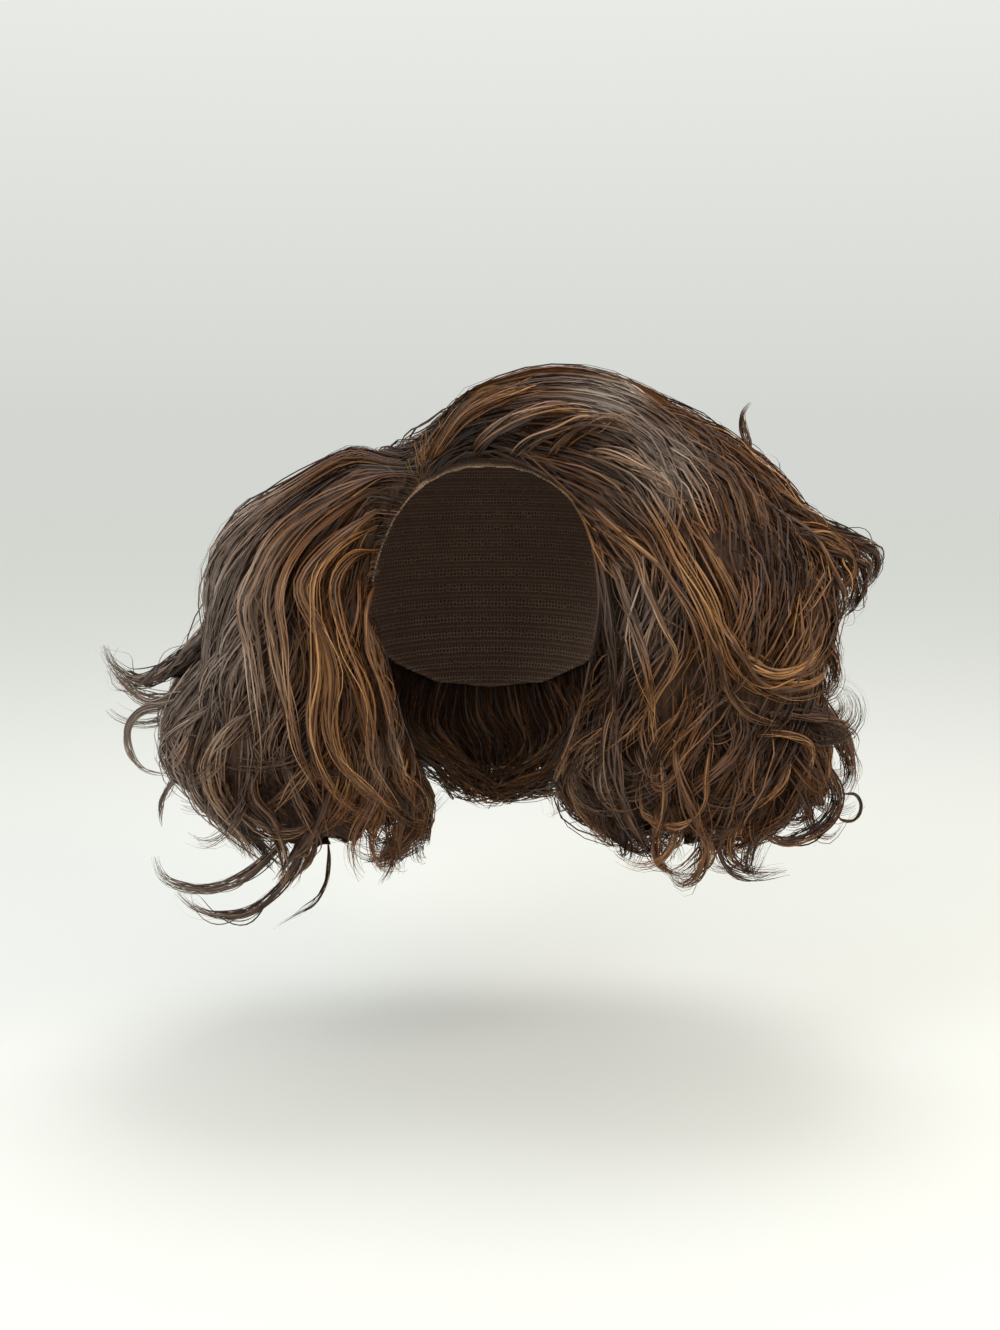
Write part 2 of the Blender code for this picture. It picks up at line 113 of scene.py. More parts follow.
LEFT_SECTIONS = (
    Section(-0.176, -0.045, -0.172, -0.22, -0.68, 0.36),
    Section(-0.110, 0.20, -0.100, -0.22, -0.72, 0.44),
    Section(0.015, 0.74, -0.020, -0.22, -0.75, 0.50),
    Section(0.150, 1.00, 0.035, -0.22, -0.78, 0.54),
    Section(0.305, 0.87, 0.095, -0.23, -0.83, 0.60),
    Section(0.465, 0.40, 0.130, -0.25, -0.88, 0.64),
    Section(0.605, -0.045, 0.160, -0.29, -0.92, 0.68),
    Section(0.735, -0.145, 0.175, -0.34, -0.95, 0.71),
    Section(0.825, -0.25, 0.185, -0.40, -0.97, 0.73),
    Section(0.860, -0.37, 0.185, -0.46, -0.99, 0.74),
    Section(0.865, -0.49, 0.180, -0.52, -1.00, 0.74),
    Section(0.855, -0.60, 0.160, -0.60, -0.99, 0.73),
    Section(0.835, -0.70, 0.165, -0.69, -0.95, 0.71),
    Section(0.790, -0.785, 0.260, -0.77, -0.88, 0.68),
    Section(0.690, -0.845, 0.360, -0.83, -0.74, 0.58),
    Section(0.580, -0.875, 0.470, -0.87, -0.44, 0.36),
)
RIGHT_SECTIONS = (
    Section(-0.182, -0.03, -0.180, -0.22, -0.66, 0.40),
    Section(-0.295, -0.055, -0.198, -0.25, -0.70, 0.50),
    Section(-0.418, -0.08, -0.208, -0.28, -0.74, 0.56),
    Section(-0.535, -0.125, -0.213, -0.32, -0.80, 0.61),
    Section(-0.635, -0.185, -0.213, -0.37, -0.85, 0.65),
    Section(-0.705, -0.270, -0.213, -0.42, -0.89, 0.67),
    Section(-0.745, -0.36, -0.208, -0.48, -0.92, 0.69),
    Section(-0.785, -0.455, -0.205, -0.54, -0.93, 0.70),
    Section(-0.830, -0.555, -0.195, -0.62, -0.93, 0.70),
    Section(-0.845, -0.65, -0.180, -0.70, -0.91, 0.69),
    Section(-0.800, -0.74, -0.160, -0.77, -0.85, 0.66),
    Section(-0.710, -0.82, -0.190, -0.83, -0.74, 0.60),
    Section(-0.545, -0.87, -0.285, -0.87, -0.55, 0.46),
    Section(-0.455, -0.895, -0.390, -0.895, -0.32, 0.26),
)
BACK_SECTIONS = (
    BackSection(0.110, 0.78, 0.060, -0.22, -0.24, 0.36, 0.17),
    BackSection(0.360, 0.60, 0.120, -0.235, -0.42, 0.50, 0.18),
    BackSection(0.600, 0.02, 0.160, -0.265, -0.56, 0.61, 0.14),
    BackSection(0.800, -0.12, 0.180, -0.31, -0.66, 0.70, 0.09),
    BackSection(0.920, -0.20, 0.190, -0.36, -0.70, 0.77, 0.04),
    BackSection(0.980, -0.31, 0.200, -0.42, -0.75, 0.80, 0.02),
    BackSection(1.000, -0.42, 0.200, -0.48, -0.78, 0.81, 0.0),
    BackSection(0.992, -0.53, 0.200, -0.55, -0.79, 0.81, 0.0),
    BackSection(0.962, -0.63, 0.200, -0.63, -0.77, 0.79, 0.0),
    BackSection(0.890, -0.71, 0.230, -0.70, -0.69, 0.72, 0.0),
    BackSection(0.780, -0.765, 0.330, -0.76, -0.53, 0.57, 0.0),
    BackSection(0.690, -0.79, 0.480, -0.79, -0.32, 0.34, 0.0),
)


class Crop(Enum):
    """The zoomed views of the photograph that locks were read from: left and top edge in it, and zoom."""

    LEFT = (90, 440, 3.136)
    RIGHT = (540, 400, 3.137)
    TOP = (370, 350, 4.02)


@dataclass(frozen=True)
class Sight:
    """The camera's line of sight, in millimetres, which turns a reading and its depth into a place."""

    distance: float = 950
    pixel: float = 0.55  # millimetres a pixel at the head's middle
    middle_x: int = 500  # the photograph's middle, in pixels
    middle_y: int = 665
    aim_x: float = 5.5
    aim_z: float = -132
    sine: float = 0.139  # of the camera's 8 degrees above
    cosine: float = 0.99
    front: int = -60  # readings from here forwards lie a little further out
    front_more: int = 3
    sunk_root: int = -50  # roots before this lie further in
    root_back: int = 10

    def place(self, crop: Crop, reading: tuple[int, int, int], is_root: bool) -> tuple[int, int, int]:
        """The place of one reading.

        Args:
            crop: the view that it was read from.
            reading: x and y in the view, and the depth that was chosen for it.
            is_root: whether it is a lock's first point.

        Returns:
            Millimetres to the wearer's left, backwards and up.
        """
        left, top, zoom = crop.value
        x, y, depth = reading
        if depth <= self.front:
            depth -= self.front_more
        if is_root and depth < self.sunk_root:
            depth += self.root_back
        scale = self.pixel * (self.distance + depth) / self.distance
        across = (left + x / zoom - self.middle_x) * scale + self.aim_x
        up = (self.middle_y - (top + y / zoom)) * scale
        return round(across), depth, round(self.aim_z + (up - self.sine * depth) / self.cosine)


SIGHT = Sight()


class Guide(NamedTuple):
    """A listed lock: where it was read, half its width in millimetres, its tone and its readings."""

    crop: Crop
    width: float
    strands: int
    tone: float
    readings: tuple[tuple[int, int, int], ...]

    def places(self) -> list[tuple[int, int, int]]:
        """The lock's points in millimetres."""
        return [SIGHT.place(self.crop, reading, index == 0) for index, reading in enumerate(self.readings)]


# The locks that stand out, read off the zoomed views: x and y in the view, and a depth chosen for each point
GUIDES = {
    "big_flick": Guide(Crop.LEFT, 9.0, 60, 0.22, (
        (520, 420, -30), (400, 560, -30), (260, 690, -32), (150, 750, -32), (75, 700, -30), (52, 640, -28),
    )),
    "flick_under": Guide(Crop.LEFT, 6.0, 34, 0.45, (
        (480, 640, -34), (330, 770, -36), (200, 805, -36), (110, 770, -34), (55, 700, -32),
    )),
    "side_loop": Guide(Crop.LEFT, 2.6, 16, 0.30, (
        (420, 780, -40), (260, 830, -40), (150, 850, -40), (104, 915, -38), (125, 995, -38),
        (175, 1042, -38), (245, 1058, -36),
    )),
    "side_hook": Guide(Crop.LEFT, 2.6, 16, 0.25, (
        (330, 960, -36), (290, 1040, -36), (235, 1090, -36), (205, 1160, -34), (215, 1222, -34),
    )),
    "low_flick": Guide(Crop.LEFT, 4.5, 36, 0.30, (
        (640, 1120, -42), (590, 1250, -44), (490, 1355, -44), (380, 1405, -42), (275, 1410, -40),
        (212, 1380, -40), (192, 1315, -38),
    )),
    "low_flick_under": Guide(Crop.LEFT, 4.5, 36, 0.34, (
        (700, 1180, -46), (620, 1360, -46), (560, 1440, -46), (470, 1492, -44), (365, 1500, -42),
        (290, 1470, -42), (255, 1425, -40),
    )),
    "stray_end": Guide(Crop.LEFT, 2.0, 12, 0.30, (
        (740, 1250, -46), (730, 1380, -46), (690, 1460, -46), (630, 1502, -44), (560, 1556, -44),
    )),
    "ash_streak": Guide(Crop.LEFT, 9.0, 30, 0.51, (
        (930, 110, -64), (760, 190, -78), (600, 300, -86), (520, 430, -90), (478, 530, -90),
        (500, 640, -88), (515, 780, -86), (530, 940, -84), (520, 1080, -82),
    )),
    "ash_streak_two": Guide(Crop.LEFT, 8.0, 28, 0.50, (
        (900, 160, -66), (720, 250, -80), (600, 380, -88), (560, 500, -92), (580, 640, -92),
        (600, 800, -90), (640, 960, -88), (690, 1090, -86), (715, 1170, -84),
    )),
    "gold_front": Guide(Crop.LEFT, 10.0, 32, 0.55, (
        (920, 220, -66), (790, 300, -80), (690, 400, -88), (655, 480, -90), (715, 600, -92),
        (750, 740, -92), (745, 880, -92), (780, 1010, -90), (860, 1110, -88), (990, 1215, -82),
    )),
    "gold_fork": Guide(Crop.LEFT, 9.0, 26, 0.53, (
        (900, 280, -66), (770, 340, -80), (700, 430, -88), (700, 560, -92), (700, 720, -93),
        (690, 880, -92), (710, 1020, -90), (780, 1140, -88), (880, 1205, -84),
    )),
    "auburn_face": Guide(Crop.LEFT, 9.0, 32, 0.50, (
        (910, 350, -62), (800, 380, -74), (745, 470, -82), (770, 620, -86), (830, 760, -86),
        (860, 900, -84), (880, 1040, -80), (960, 1170, -74),
    )),
    "face_wisp": Guide(Crop.LEFT, 3.0, 18, 0.61, (
        (915, 540, -56), (880, 610, -60), (905, 700, -64), (945, 820, -64), (965, 930, -62),
    )),
    "face_wisp_two": Guide(Crop.LEFT, 6.0, 34, 0.40, (
        (912, 450, -56), (850, 520, -66), (850, 640, -72), (890, 770, -74), (920, 900, -72),
        (960, 1040, -68), (1040, 1200, -60),
    )),
    "rim_gold": Guide(Crop.LEFT, 6.0, 34, 0.59, (
        (500, 760, -62), (340, 850, -60), (240, 930, -54), (300, 1020, -56), (330, 1120, -56),
        (400, 1220, -54), (480, 1320, -50),
    )),
    "pocket_gold": Guide(Crop.LEFT, 7.0, 38, 0.63, (
        (560, 800, -78), (430, 900, -76), (360, 1000, -72), (370, 1110, -70), (440, 1230, -66),
        (520, 1340, -60),
    )),
    "low_twist": Guide(Crop.LEFT, 5.0, 32, 0.58, (
        (500, 960, -80), (490, 1120, -78), (560, 1220, -76), (600, 1320, -70), (590, 1420, -62),
    )),
    "low_twist_two": Guide(Crop.LEFT, 5.0, 32, 0.55, (
        (600, 980, -84), (640, 1130, -82), (692, 1230, -76), (665, 1340, -68), (600, 1425, -60),
    )),
    "low_twist_three": Guide(Crop.LEFT, 4.0, 26, 0.30, (
        (760, 1060, -86), (700, 1200, -82), (640, 1300, -74), (560, 1400, -64),
    )),
    "top_curl": Guide(Crop.RIGHT, 7.0, 50, 0.26, (
        (640, 270, -36), (760, 355, -40), (880, 398, -40), (985, 440, -38), (1040, 468, -36),
        (1055, 520, -34), (1030, 575, -34), (985, 595, -36),
    )),
    "curl_drop": Guide(Crop.RIGHT, 2.6, 16, 0.28, (
        (980, 470, -42), (1015, 560, -40), (1000, 625, -40), (960, 668, -40), (930, 690, -38),
    )),
    "upright_flick": Guide(Crop.RIGHT, 3.4, 32, 0.34, (
        (540, 180, -20), (615, 212, -18), (630, 155, -17), (620, 100, -16), (622, 55, -16), (645, 22, -16),
    )),
    "curl_light": Guide(Crop.RIGHT, 3.4, 24, 0.62, (
        (620, 430, -60), (760, 500, -62), (860, 560, -58), (915, 640, -54), (932, 700, -50),
    )),
    "crest_fall": Guide(Crop.RIGHT, 8.0, 44, 0.42, (
        (600, 300, -52), (760, 380, -54), (870, 470, -52), (930, 600, -48), (925, 740, -48), (950, 830, -46),
    )),
    "gold_arc": Guide(Crop.RIGHT, 6.0, 24, 0.62, (
        (200, 150, -62), (330, 330, -78), (430, 500, -88), (520, 640, -92), (555, 750, -92),
        (600, 850, -90), (700, 925, -84), (830, 900, -74),
    )),
    "gold_arc_two": Guide(Crop.RIGHT, 7.0, 26, 0.58, (
        (240, 120, -58), (380, 300, -74), (480, 480, -84), (560, 640, -90), (600, 790, -90),
        (680, 890, -86), (790, 930, -78), (910, 900, -66),
    )),
    "pocket_wave": Guide(Crop.RIGHT, 6.0, 36, 0.59, (
        (420, 300, -70), (540, 480, -80), (620, 640, -84), (650, 780, -84), (730, 860, -80),
        (840, 850, -70), (890, 800, -62),
    )),
    "under_wave": Guide(Crop.RIGHT, 4.0, 28, 0.55, (
        (480, 560, -88), (560, 760, -92), (600, 900, -92), (660, 980, -88), (750, 1022, -82),
    )),
    "light_fan": Guide(Crop.RIGHT, 4.0, 22, 0.62, (
        (125, 190, -60), (165, 320, -70), (250, 410, -78), (330, 480, -84), (400, 560, -88), (450, 660, -90),
    )),
    "light_fan_two": Guide(Crop.RIGHT, 4.0, 34, 0.64, (
        (110, 240, -58), (170, 380, -68), (290, 480, -78), (340, 600, -86), (390, 720, -90),
        (425, 800, -90), (400, 880, -90),
    )),
    "light_fan_three": Guide(Crop.RIGHT, 7.0, 28, 0.48, (
        (150, 160, -60), (230, 300, -70), (350, 420, -80), (420, 520, -86), (500, 660, -90),
        (530, 800, -92), (545, 960, -90),
    )),
    "straight_dark": Guide(Crop.RIGHT, 6.0, 40, 0.22, (
        (150, 330, -60), (200, 500, -68), (235, 700, -74), (240, 900, -78), (230, 1100, -78),
    )),
    "straight_light": Guide(Crop.RIGHT, 5.0, 34, 0.58, (
        (170, 380, -62), (250, 560, -74), (310, 740, -82), (345, 900, -86), (370, 1080, -86),
    )),
    "dome_bulge": Guide(Crop.RIGHT, 7.0, 40, 0.40, (
        (560, 880, -80), (700, 960, -74), (850, 975, -62), (940, 1010, -56), (985, 1100, -48),
        (1000, 1190, -44), (955, 1265, -44),
    )),
    "bulge_light": Guide(Crop.RIGHT, 3.4, 24, 0.64, (
        (640, 1060, -84), (760, 1050, -80), (845, 1080, -72), (850, 1150, -68), (815, 1235, -66),
    )),
    "bulge_light_two": Guide(Crop.RIGHT, 3.4, 24, 0.59, (
        (760, 980, -70), (880, 1020, -62), (915, 1100, -56), (912, 1180, -54), (880, 1250, -54),
    )),
    "loop_lock": Guide(Crop.RIGHT, 5.0, 40, 0.26, (
        (880, 1120, -50), (950, 1230, -46), (925, 1320, -46), (850, 1375, -48), (770, 1395, -52),
        (700, 1355, -58), (690, 1320, -60),
    )),
    "tiny_ring": Guide(Crop.RIGHT, 1.4, 10, 0.34, (
        (960, 1240, -44), (1000, 1245, -42), (1016, 1280, -42), (1000, 1320, -42), (960, 1322, -42),
        (945, 1290, -42),
    )),
    "low_right": Guide(Crop.RIGHT, 7.0, 44, 0.34, (
        (760, 1100, -78), (720, 1230, -74), (640, 1310, -70), (600, 1380, -66), (620, 1460, -62),
        (690, 1498, -58), (790, 1480, -54),
    )),
    "low_shine": Guide(Crop.RIGHT, 4.0, 30, 0.69, (
        (800, 1100, -80), (760, 1220, -78), (660, 1300, -74), (605, 1400, -70), (620, 1470, -66),
    )),
    "ring_strand": Guide(Crop.RIGHT, 2.0, 18, 0.69, (
        (540, 1060, -92), (532, 1180, -90), (528, 1265, -88), (480, 1325, -86), (400, 1345, -84),
        (330, 1310, -84), (315, 1250, -84), (325, 1220, -84),
    )),
    "low_middle": Guide(Crop.RIGHT, 7.0, 46, 0.48, (
        (420, 1040, -90), (450, 1190, -88), (500, 1300, -84), (542, 1400, -80), (515, 1500, -76),
        (445, 1535, -72), (400, 1470, -70),
    )),
    "low_inner": Guide(Crop.RIGHT, 6.0, 38, 0.44, (
        (380, 1100, -86), (410, 1250, -84), (380, 1380, -80), (400, 1470, -76), (470, 1500, -72),
    )),
    "low_face": Guide(Crop.RIGHT, 7.0, 42, 0.26, (
        (260, 900, -80), (240, 1100, -80), (270, 1260, -78), (340, 1400, -74), (420, 1480, -70),
    )),
    "top_curl_low": Guide(Crop.RIGHT, 11.0, 60, 0.34, (
        (620, 300, -44), (760, 400, -46), (870, 440, -46), (960, 478, -44), (1022, 520, -42),
        (1010, 575, -42), (955, 592, -44),
    )),
    "top_lump": Guide(Crop.RIGHT, 12.0, 60, 0.34, (
        (660, 280, -28), (790, 390, -30), (895, 470, -32), (965, 535, -32), (985, 600, -32),
        (955, 655, -32), (920, 705, -34),
    )),
    "top_curl_back": Guide(Crop.RIGHT, 8.0, 50, 0.30, (
        (600, 260, -18), (740, 330, -20), (860, 378, -20), (960, 432, -20), (1030, 480, -20),
        (1045, 535, -20), (1000, 575, -22),
    )),
    "top_curl_light": Guide(Crop.RIGHT, 6.0, 36, 0.59, (
        (680, 360, -50), (800, 395, -52), (900, 420, -52), (962, 470, -50), (985, 532, -48),
        (948, 592, -48), (890, 600, -48),
    )),
    "mid_lump": Guide(Crop.RIGHT, 10.0, 50, 0.34, (
        (700, 560, -40), (800, 640, -42), (880, 720, -42), (925, 800, -40), (930, 880, -38), (890, 930, -38),
    )),
    "side_bulge": Guide(Crop.RIGHT, 11.0, 50, 0.32, (
        (760, 760, -30), (855, 900, -30), (925, 1000, -30), (968, 1095, -28), (975, 1180, -28),
        (945, 1245, -28),
    )),
    "pocket_two": Guide(Crop.RIGHT, 7.0, 30, 0.62, (
        (500, 560, -86), (570, 700, -90), (640, 800, -90), (740, 850, -86), (830, 830, -78), (880, 770, -70),
    )),
    "pocket_three": Guide(Crop.RIGHT, 6.0, 28, 0.58, (
        (540, 640, -88), (610, 760, -92), (690, 880, -92), (780, 905, -86), (870, 880, -76), (905, 820, -68),
    )),
    "shoulder": Guide(Crop.RIGHT, 10.0, 44, 0.38, (
        (380, 40, -10), (540, 115, -12), (650, 188, -14), (728, 248, -14), (785, 315, -16), (830, 385, -18),
        (860, 470, -22),
    )),
    "shoulder_back": Guide(Crop.RIGHT, 10.0, 40, 0.34, (
        (400, 55, 14), (560, 130, 14), (660, 198, 12), (736, 256, 12), (795, 325, 10), (840, 400, 8),
        (870, 490, 4),
    )),
    "shoulder_front": Guide(Crop.RIGHT, 9.0, 40, 0.46, (
        (420, 60, -34), (560, 130, -36), (660, 200, -38), (730, 262, -40), (800, 330, -42), (870, 390, -44),
        (900, 480, -46),
    )),
    "crest_gold": Guide(Crop.TOP, 4.5, 28, 0.60, (
        (225, 425, -60), (265, 335, -66), (345, 258, -64), (450, 200, -56), (600, 155, -44), (760, 140, -30),
    )),
    "crest_gold_two": Guide(Crop.TOP, 5.0, 30, 0.56, (
        (250, 432, -62), (300, 345, -68), (390, 262, -68), (505, 208, -60), (660, 178, -48), (840, 172, -34),
    )),
    "brow_wave": Guide(Crop.TOP, 7.0, 42, 0.46, (
        (395, 468, -60), (470, 360, -72), (600, 280, -74), (740, 250, -70), (880, 270, -64),
        (1000, 330, -58),
    )),
    "brow_wave_two": Guide(Crop.TOP, 6.0, 28, 0.50, (
        (540, 470, -62), (625, 390, -72), (740, 330, -76), (860, 300, -76), (960, 320, -72),
        (1080, 400, -68),
    )),
    "brow_wave_three": Guide(Crop.TOP, 5.0, 24, 0.54, (
        (670, 500, -62), (750, 410, -72), (840, 330, -76), (940, 300, -76), (1060, 350, -72),
        (1180, 450, -68),
    )),
    "sheen_one": Guide(Crop.TOP, 6.0, 38, 0.63, (
        (860, 430, -68), (960, 420, -76), (1060, 460, -80), (1160, 540, -82), (1260, 640, -82),
    )),
    "sheen_two": Guide(Crop.TOP, 7.0, 40, 0.59, (
        (900, 200, -50), (990, 270, -58), (1080, 370, -66), (1160, 470, -72), (1260, 560, -76),
    )),
    "warm_band": Guide(Crop.TOP, 7.0, 42, 0.68, (
        (980, 140, -34), (1090, 220, -44), (1170, 320, -54), (1260, 430, -60), (1360, 540, -62),
    )),
}


def unit(vectors: Array) -> Array:
    """Vectors of length one."""
    return vectors / np.maximum(np.linalg.norm(vectors, axis=-1, keepdims=True), 1e-9)


def square_to(vectors: Array, axes: Array) -> Array:
    """The part of each vector that is square to its axis, at length one."""
    return unit(vectors - (vectors * axes).sum(-1, keepdims=True) * axes)


def smooth_step(values: Array) -> Array:
    """A smooth rise from 0 to 1."""
    held = np.clip(values, 0.0, 1.0)
    return held * held * (3.0 - 2.0 * held)


def superellipse(angles: Array, fullness: float) -> tuple[Array, Array]:
    """Cosine and sine, drawn out towards a box's corners.

    Args:
        angles: angles in radians.
        fullness: 2 gives a circle, and more gives a fuller form.

    Returns:
        The drawn-out cosine and sine.
    """
    power = 2.0 / fullness
    cosine, sine = np.cos(angles), np.sin(angles)
    return (
        np.copysign(np.abs(cosine) ** power, cosine),
        np.copysign(np.abs(sine) ** power, sine),
    )


def between(before: Array, start: Array, end: Array, after: Array, t: Array) -> Array:
    """Points on a smooth curve from one row to the next.

    Args:
        before: the row before the stretch.
        start: the row where the stretch begins.
        end: the row where it ends.
        after: the row after it.
        t: how far along the stretch, 0 to 1.

    Returns:
        One point for each place.
    """
    linear = (end - before) * t
    squared = (2 * before - 5 * start + 4 * end - after) * t**2
    cubed = (3 * start - before - 3 * end + after) * t**3
    return 0.5 * (2 * start + linear + squared + cubed)


@dataclass(frozen=True)
class Reach:
    """How far the hair reaches from the origin."""

    right: float = 0.208
    left: float = 0.212
    front: float = 0.095
    back: float = 0.133
    up: float = 0.029
    down: float = 0.268

    def place(self, shares: Array) -> Array:
        """Points from shares of the reach.

        Args:
            shares: shares of the reach, -1 to 1, in three directions.

        Returns:
            The points in metres.
        """
        low = np.array([self.right, self.front, self.down])
        high = np.array([self.left, self.back, self.up])
        return shares * np.where(shares > 0.0, high, low)


REACH = Reach()


@dataclass(frozen=True)
class Head:
    """The space that the hair leaves for the head, the face and the neck."""

    half_width: float = 0.072
    half_depth: float = 0.092
    drop: float = 0.100
    face_half: float = 0.056
    face_tall: float = 0.078
    face_widest: float = 0.096
    face_fullness: float = 2.3
    neck_half: float = 0.037
    neck_depth: float = 0.056
    rim_round: tuple[float, ...] = (0, 14, 27, 37, 46, 52, 56, 59, 64, 72, 78, 84, 94, 108, 125, 150, 180)
    rim_down: tuple[float, ...] = (
        39, 39.5, 42, 46, 52, 60, 70, 82, 96, 108, 110, 103, 98, 102, 112, 121, 124
    )
    cheek_down: tuple[float, ...] = (0.096, 0.123, 0.153, 0.182, 0.204, 0.222, 0.300)
    cheek_half: tuple[float, ...] = (0.056, 0.051, 0.045, 0.034, 0.031, 0.032, 0.032)

    def scalp(self, round_deg: Array, down_deg: Array, proud: float = 0.0) -> Array:
        """Points on the head, or so far outside it.

        Args:
            round_deg: degrees round from the middle of the forehead, to the wearer's left.
            down_deg: degrees down from the crown.
            proud: distance outside the head.

        Returns:
            One point for each pair of angles.
        """
        around, down = np.radians(round_deg), np.radians(down_deg)
        return np.stack(
            [
                (self.half_width + proud) * np.sin(down) * np.sin(around),
                -(self.half_depth + proud) * np.sin(down) * np.cos(around),
                (self.drop + proud) * np.cos(down) - self.drop,
            ],
            axis=-1,
        )

    def rim(self, round_deg: Array) -> Array:
        """How many degrees down the cap's rim lies, at places round the head."""
        return np.interp(np.abs(round_deg), self.rim_round, self.rim_down)

    def normals(self, points: Array) -> Array:
        """The way out of the head at points near it."""
        sizes = np.array([self.half_width, self.half_depth, self.drop])
        return unit((points + np.array([0, 0, self.drop])) / sizes**2)

    def level(self, points: Array) -> Array:
        """How far out the points lie: 1 on the head's surface."""
        sizes = np.array([self.half_width, self.half_depth, self.drop])
        return np.linalg.norm((points + np.array([0, 0, self.drop])) / sizes, axis=-1)

    def onto_scalp(self, points: Array, proud: float) -> Array:
        """The points moved straight from the head's middle onto its surface.

        Args:
            points: any points.
            proud: how far outside the head they end.

        Returns:
            The moved points, in the same shape.
        """
        sizes = np.array([self.half_width, self.half_depth, self.drop]) + proud
        middle = np.array([0.0, 0.0, -self.drop])
        spokes = (points - middle) / sizes
        return middle + unit(spokes) * sizes

    def clear(self, points: Array, proud: float) -> Array:
        """The points moved out of the head, the neck and the open face.

        Args:
            points: any points.
            proud: how far outside the head they stay.

        Returns:
            The moved points, in the same shape.
        """
        sizes = np.array([self.half_width, self.half_depth, self.drop]) + proud
        middle = np.array([0.0, 0.0, -self.drop])
        spokes = (points - middle) / sizes
        deep = np.linalg.norm(spokes, axis=-1, keepdims=True)
        above = points[..., 2:3] > -0.150
        points = np.where((deep < 1.0) & above, middle + unit(spokes) * sizes, points)
        return self.clear_face(self.clear_neck(points))

    def clear_neck(self, points: Array) -> Array:
        """The points moved out of the neck's space, below the head.

        Args:
            points: any points.

        Returns:
            The moved points, in the same shape.
        """
        share = smooth_step((-points[..., 2] - 0.150) / 0.070)
        half = 0.064 + (self.neck_half - 0.064) * share
        deep = 0.080 + (self.neck_depth - 0.080) * share
        level = np.sqrt((points[..., 0] / half) ** 2 + (points[..., 1] / deep) ** 2)
        inside = (level < 1.0) & (points[..., 2] <= -0.150)
        factor = np.where(inside, 1.0 / np.maximum(level, 0.2), 1.0)
        moved = points.copy()
        moved[..., 0] *= factor
        moved[..., 1] *= factor
        return moved

    def clear_face(self, points: Array) -> Array:
        """The points moved sideways or up, out of the open face.

        Args:
            points: any points.

        Returns:
            The moved points, in the same shape.
        """
        x, y, z = points[..., 0], points[..., 1], points[..., 2]
        fullness = self.face_fullness
        rise = np.maximum(z + self.face_widest, 0.0) / self.face_tall
        level = (np.abs(x / self.face_half) ** fullness + rise**fullness) ** (1 / fullness)
        before = y < -0.016
        upper = before & (z > -self.face_widest) & (level < 1.0)
        factor = np.where(upper, 1.0 / np.maximum(level, 0.15), 1.0)
        half = np.interp(-z, self.cheek_down, self.cheek_half)
        lower = before & (z <= -self.face_widest) & (np.abs(x) < half)
        moved = points.copy()
        side = np.sign(x.mean(axis=-1, keepdims=True) + 1e-6)
        moved[..., 0] = np.where(lower, side * half, x * factor)
        moved[..., 2] = np.where(upper, (z + self.face_widest) * factor - self.face_widest, z)
        return moved


HEAD = Head()


@dataclass(frozen=True)
class Parting:
    """The dip in the hair along the parting: where it lies, how wide it is and how deep."""

    middle: float = -0.047
    half: float = 0.037
    depth: float = 0.016

    def dip(self, points: Array) -> Array:
        """How far down the hair lies at some points.

        Args:
            points: any points.

        Returns:
            One depth for each point.
        """
        near = smooth_step(1.0 - np.abs(points[..., 0] - self.middle) / self.half)
        before = smooth_step((0.085 - points[..., 1]) / 0.050)
        return self.depth * near * before * smooth_step((points[..., 2] + 0.030) / 0.030)

    def pressed(self, points: Array) -> Array:
        """The points moved down into the dip.

        Args:
            points: any points.

        Returns:
            The moved points, in the same shape.
        """
        moved = points.copy()
        moved[..., 2] -= self.dip(points)
        return moved


PARTING = Parting()


@dataclass(frozen=True)
class Billow:
    """Swellings along a mass: their depth as a share of it, and the sections where two crests lie."""

    depth: float
    first: float
    second: float

    def swell(self, section: Array) -> Array:
        """The factor on a mass's reach at a section."""
        turn = 2 * math.pi * (section - self.first) / (self.second - self.first)
        return 1.0 + self.depth * np.cos(turn) * smooth_step((section - self.first + 3.0) / 2.0)


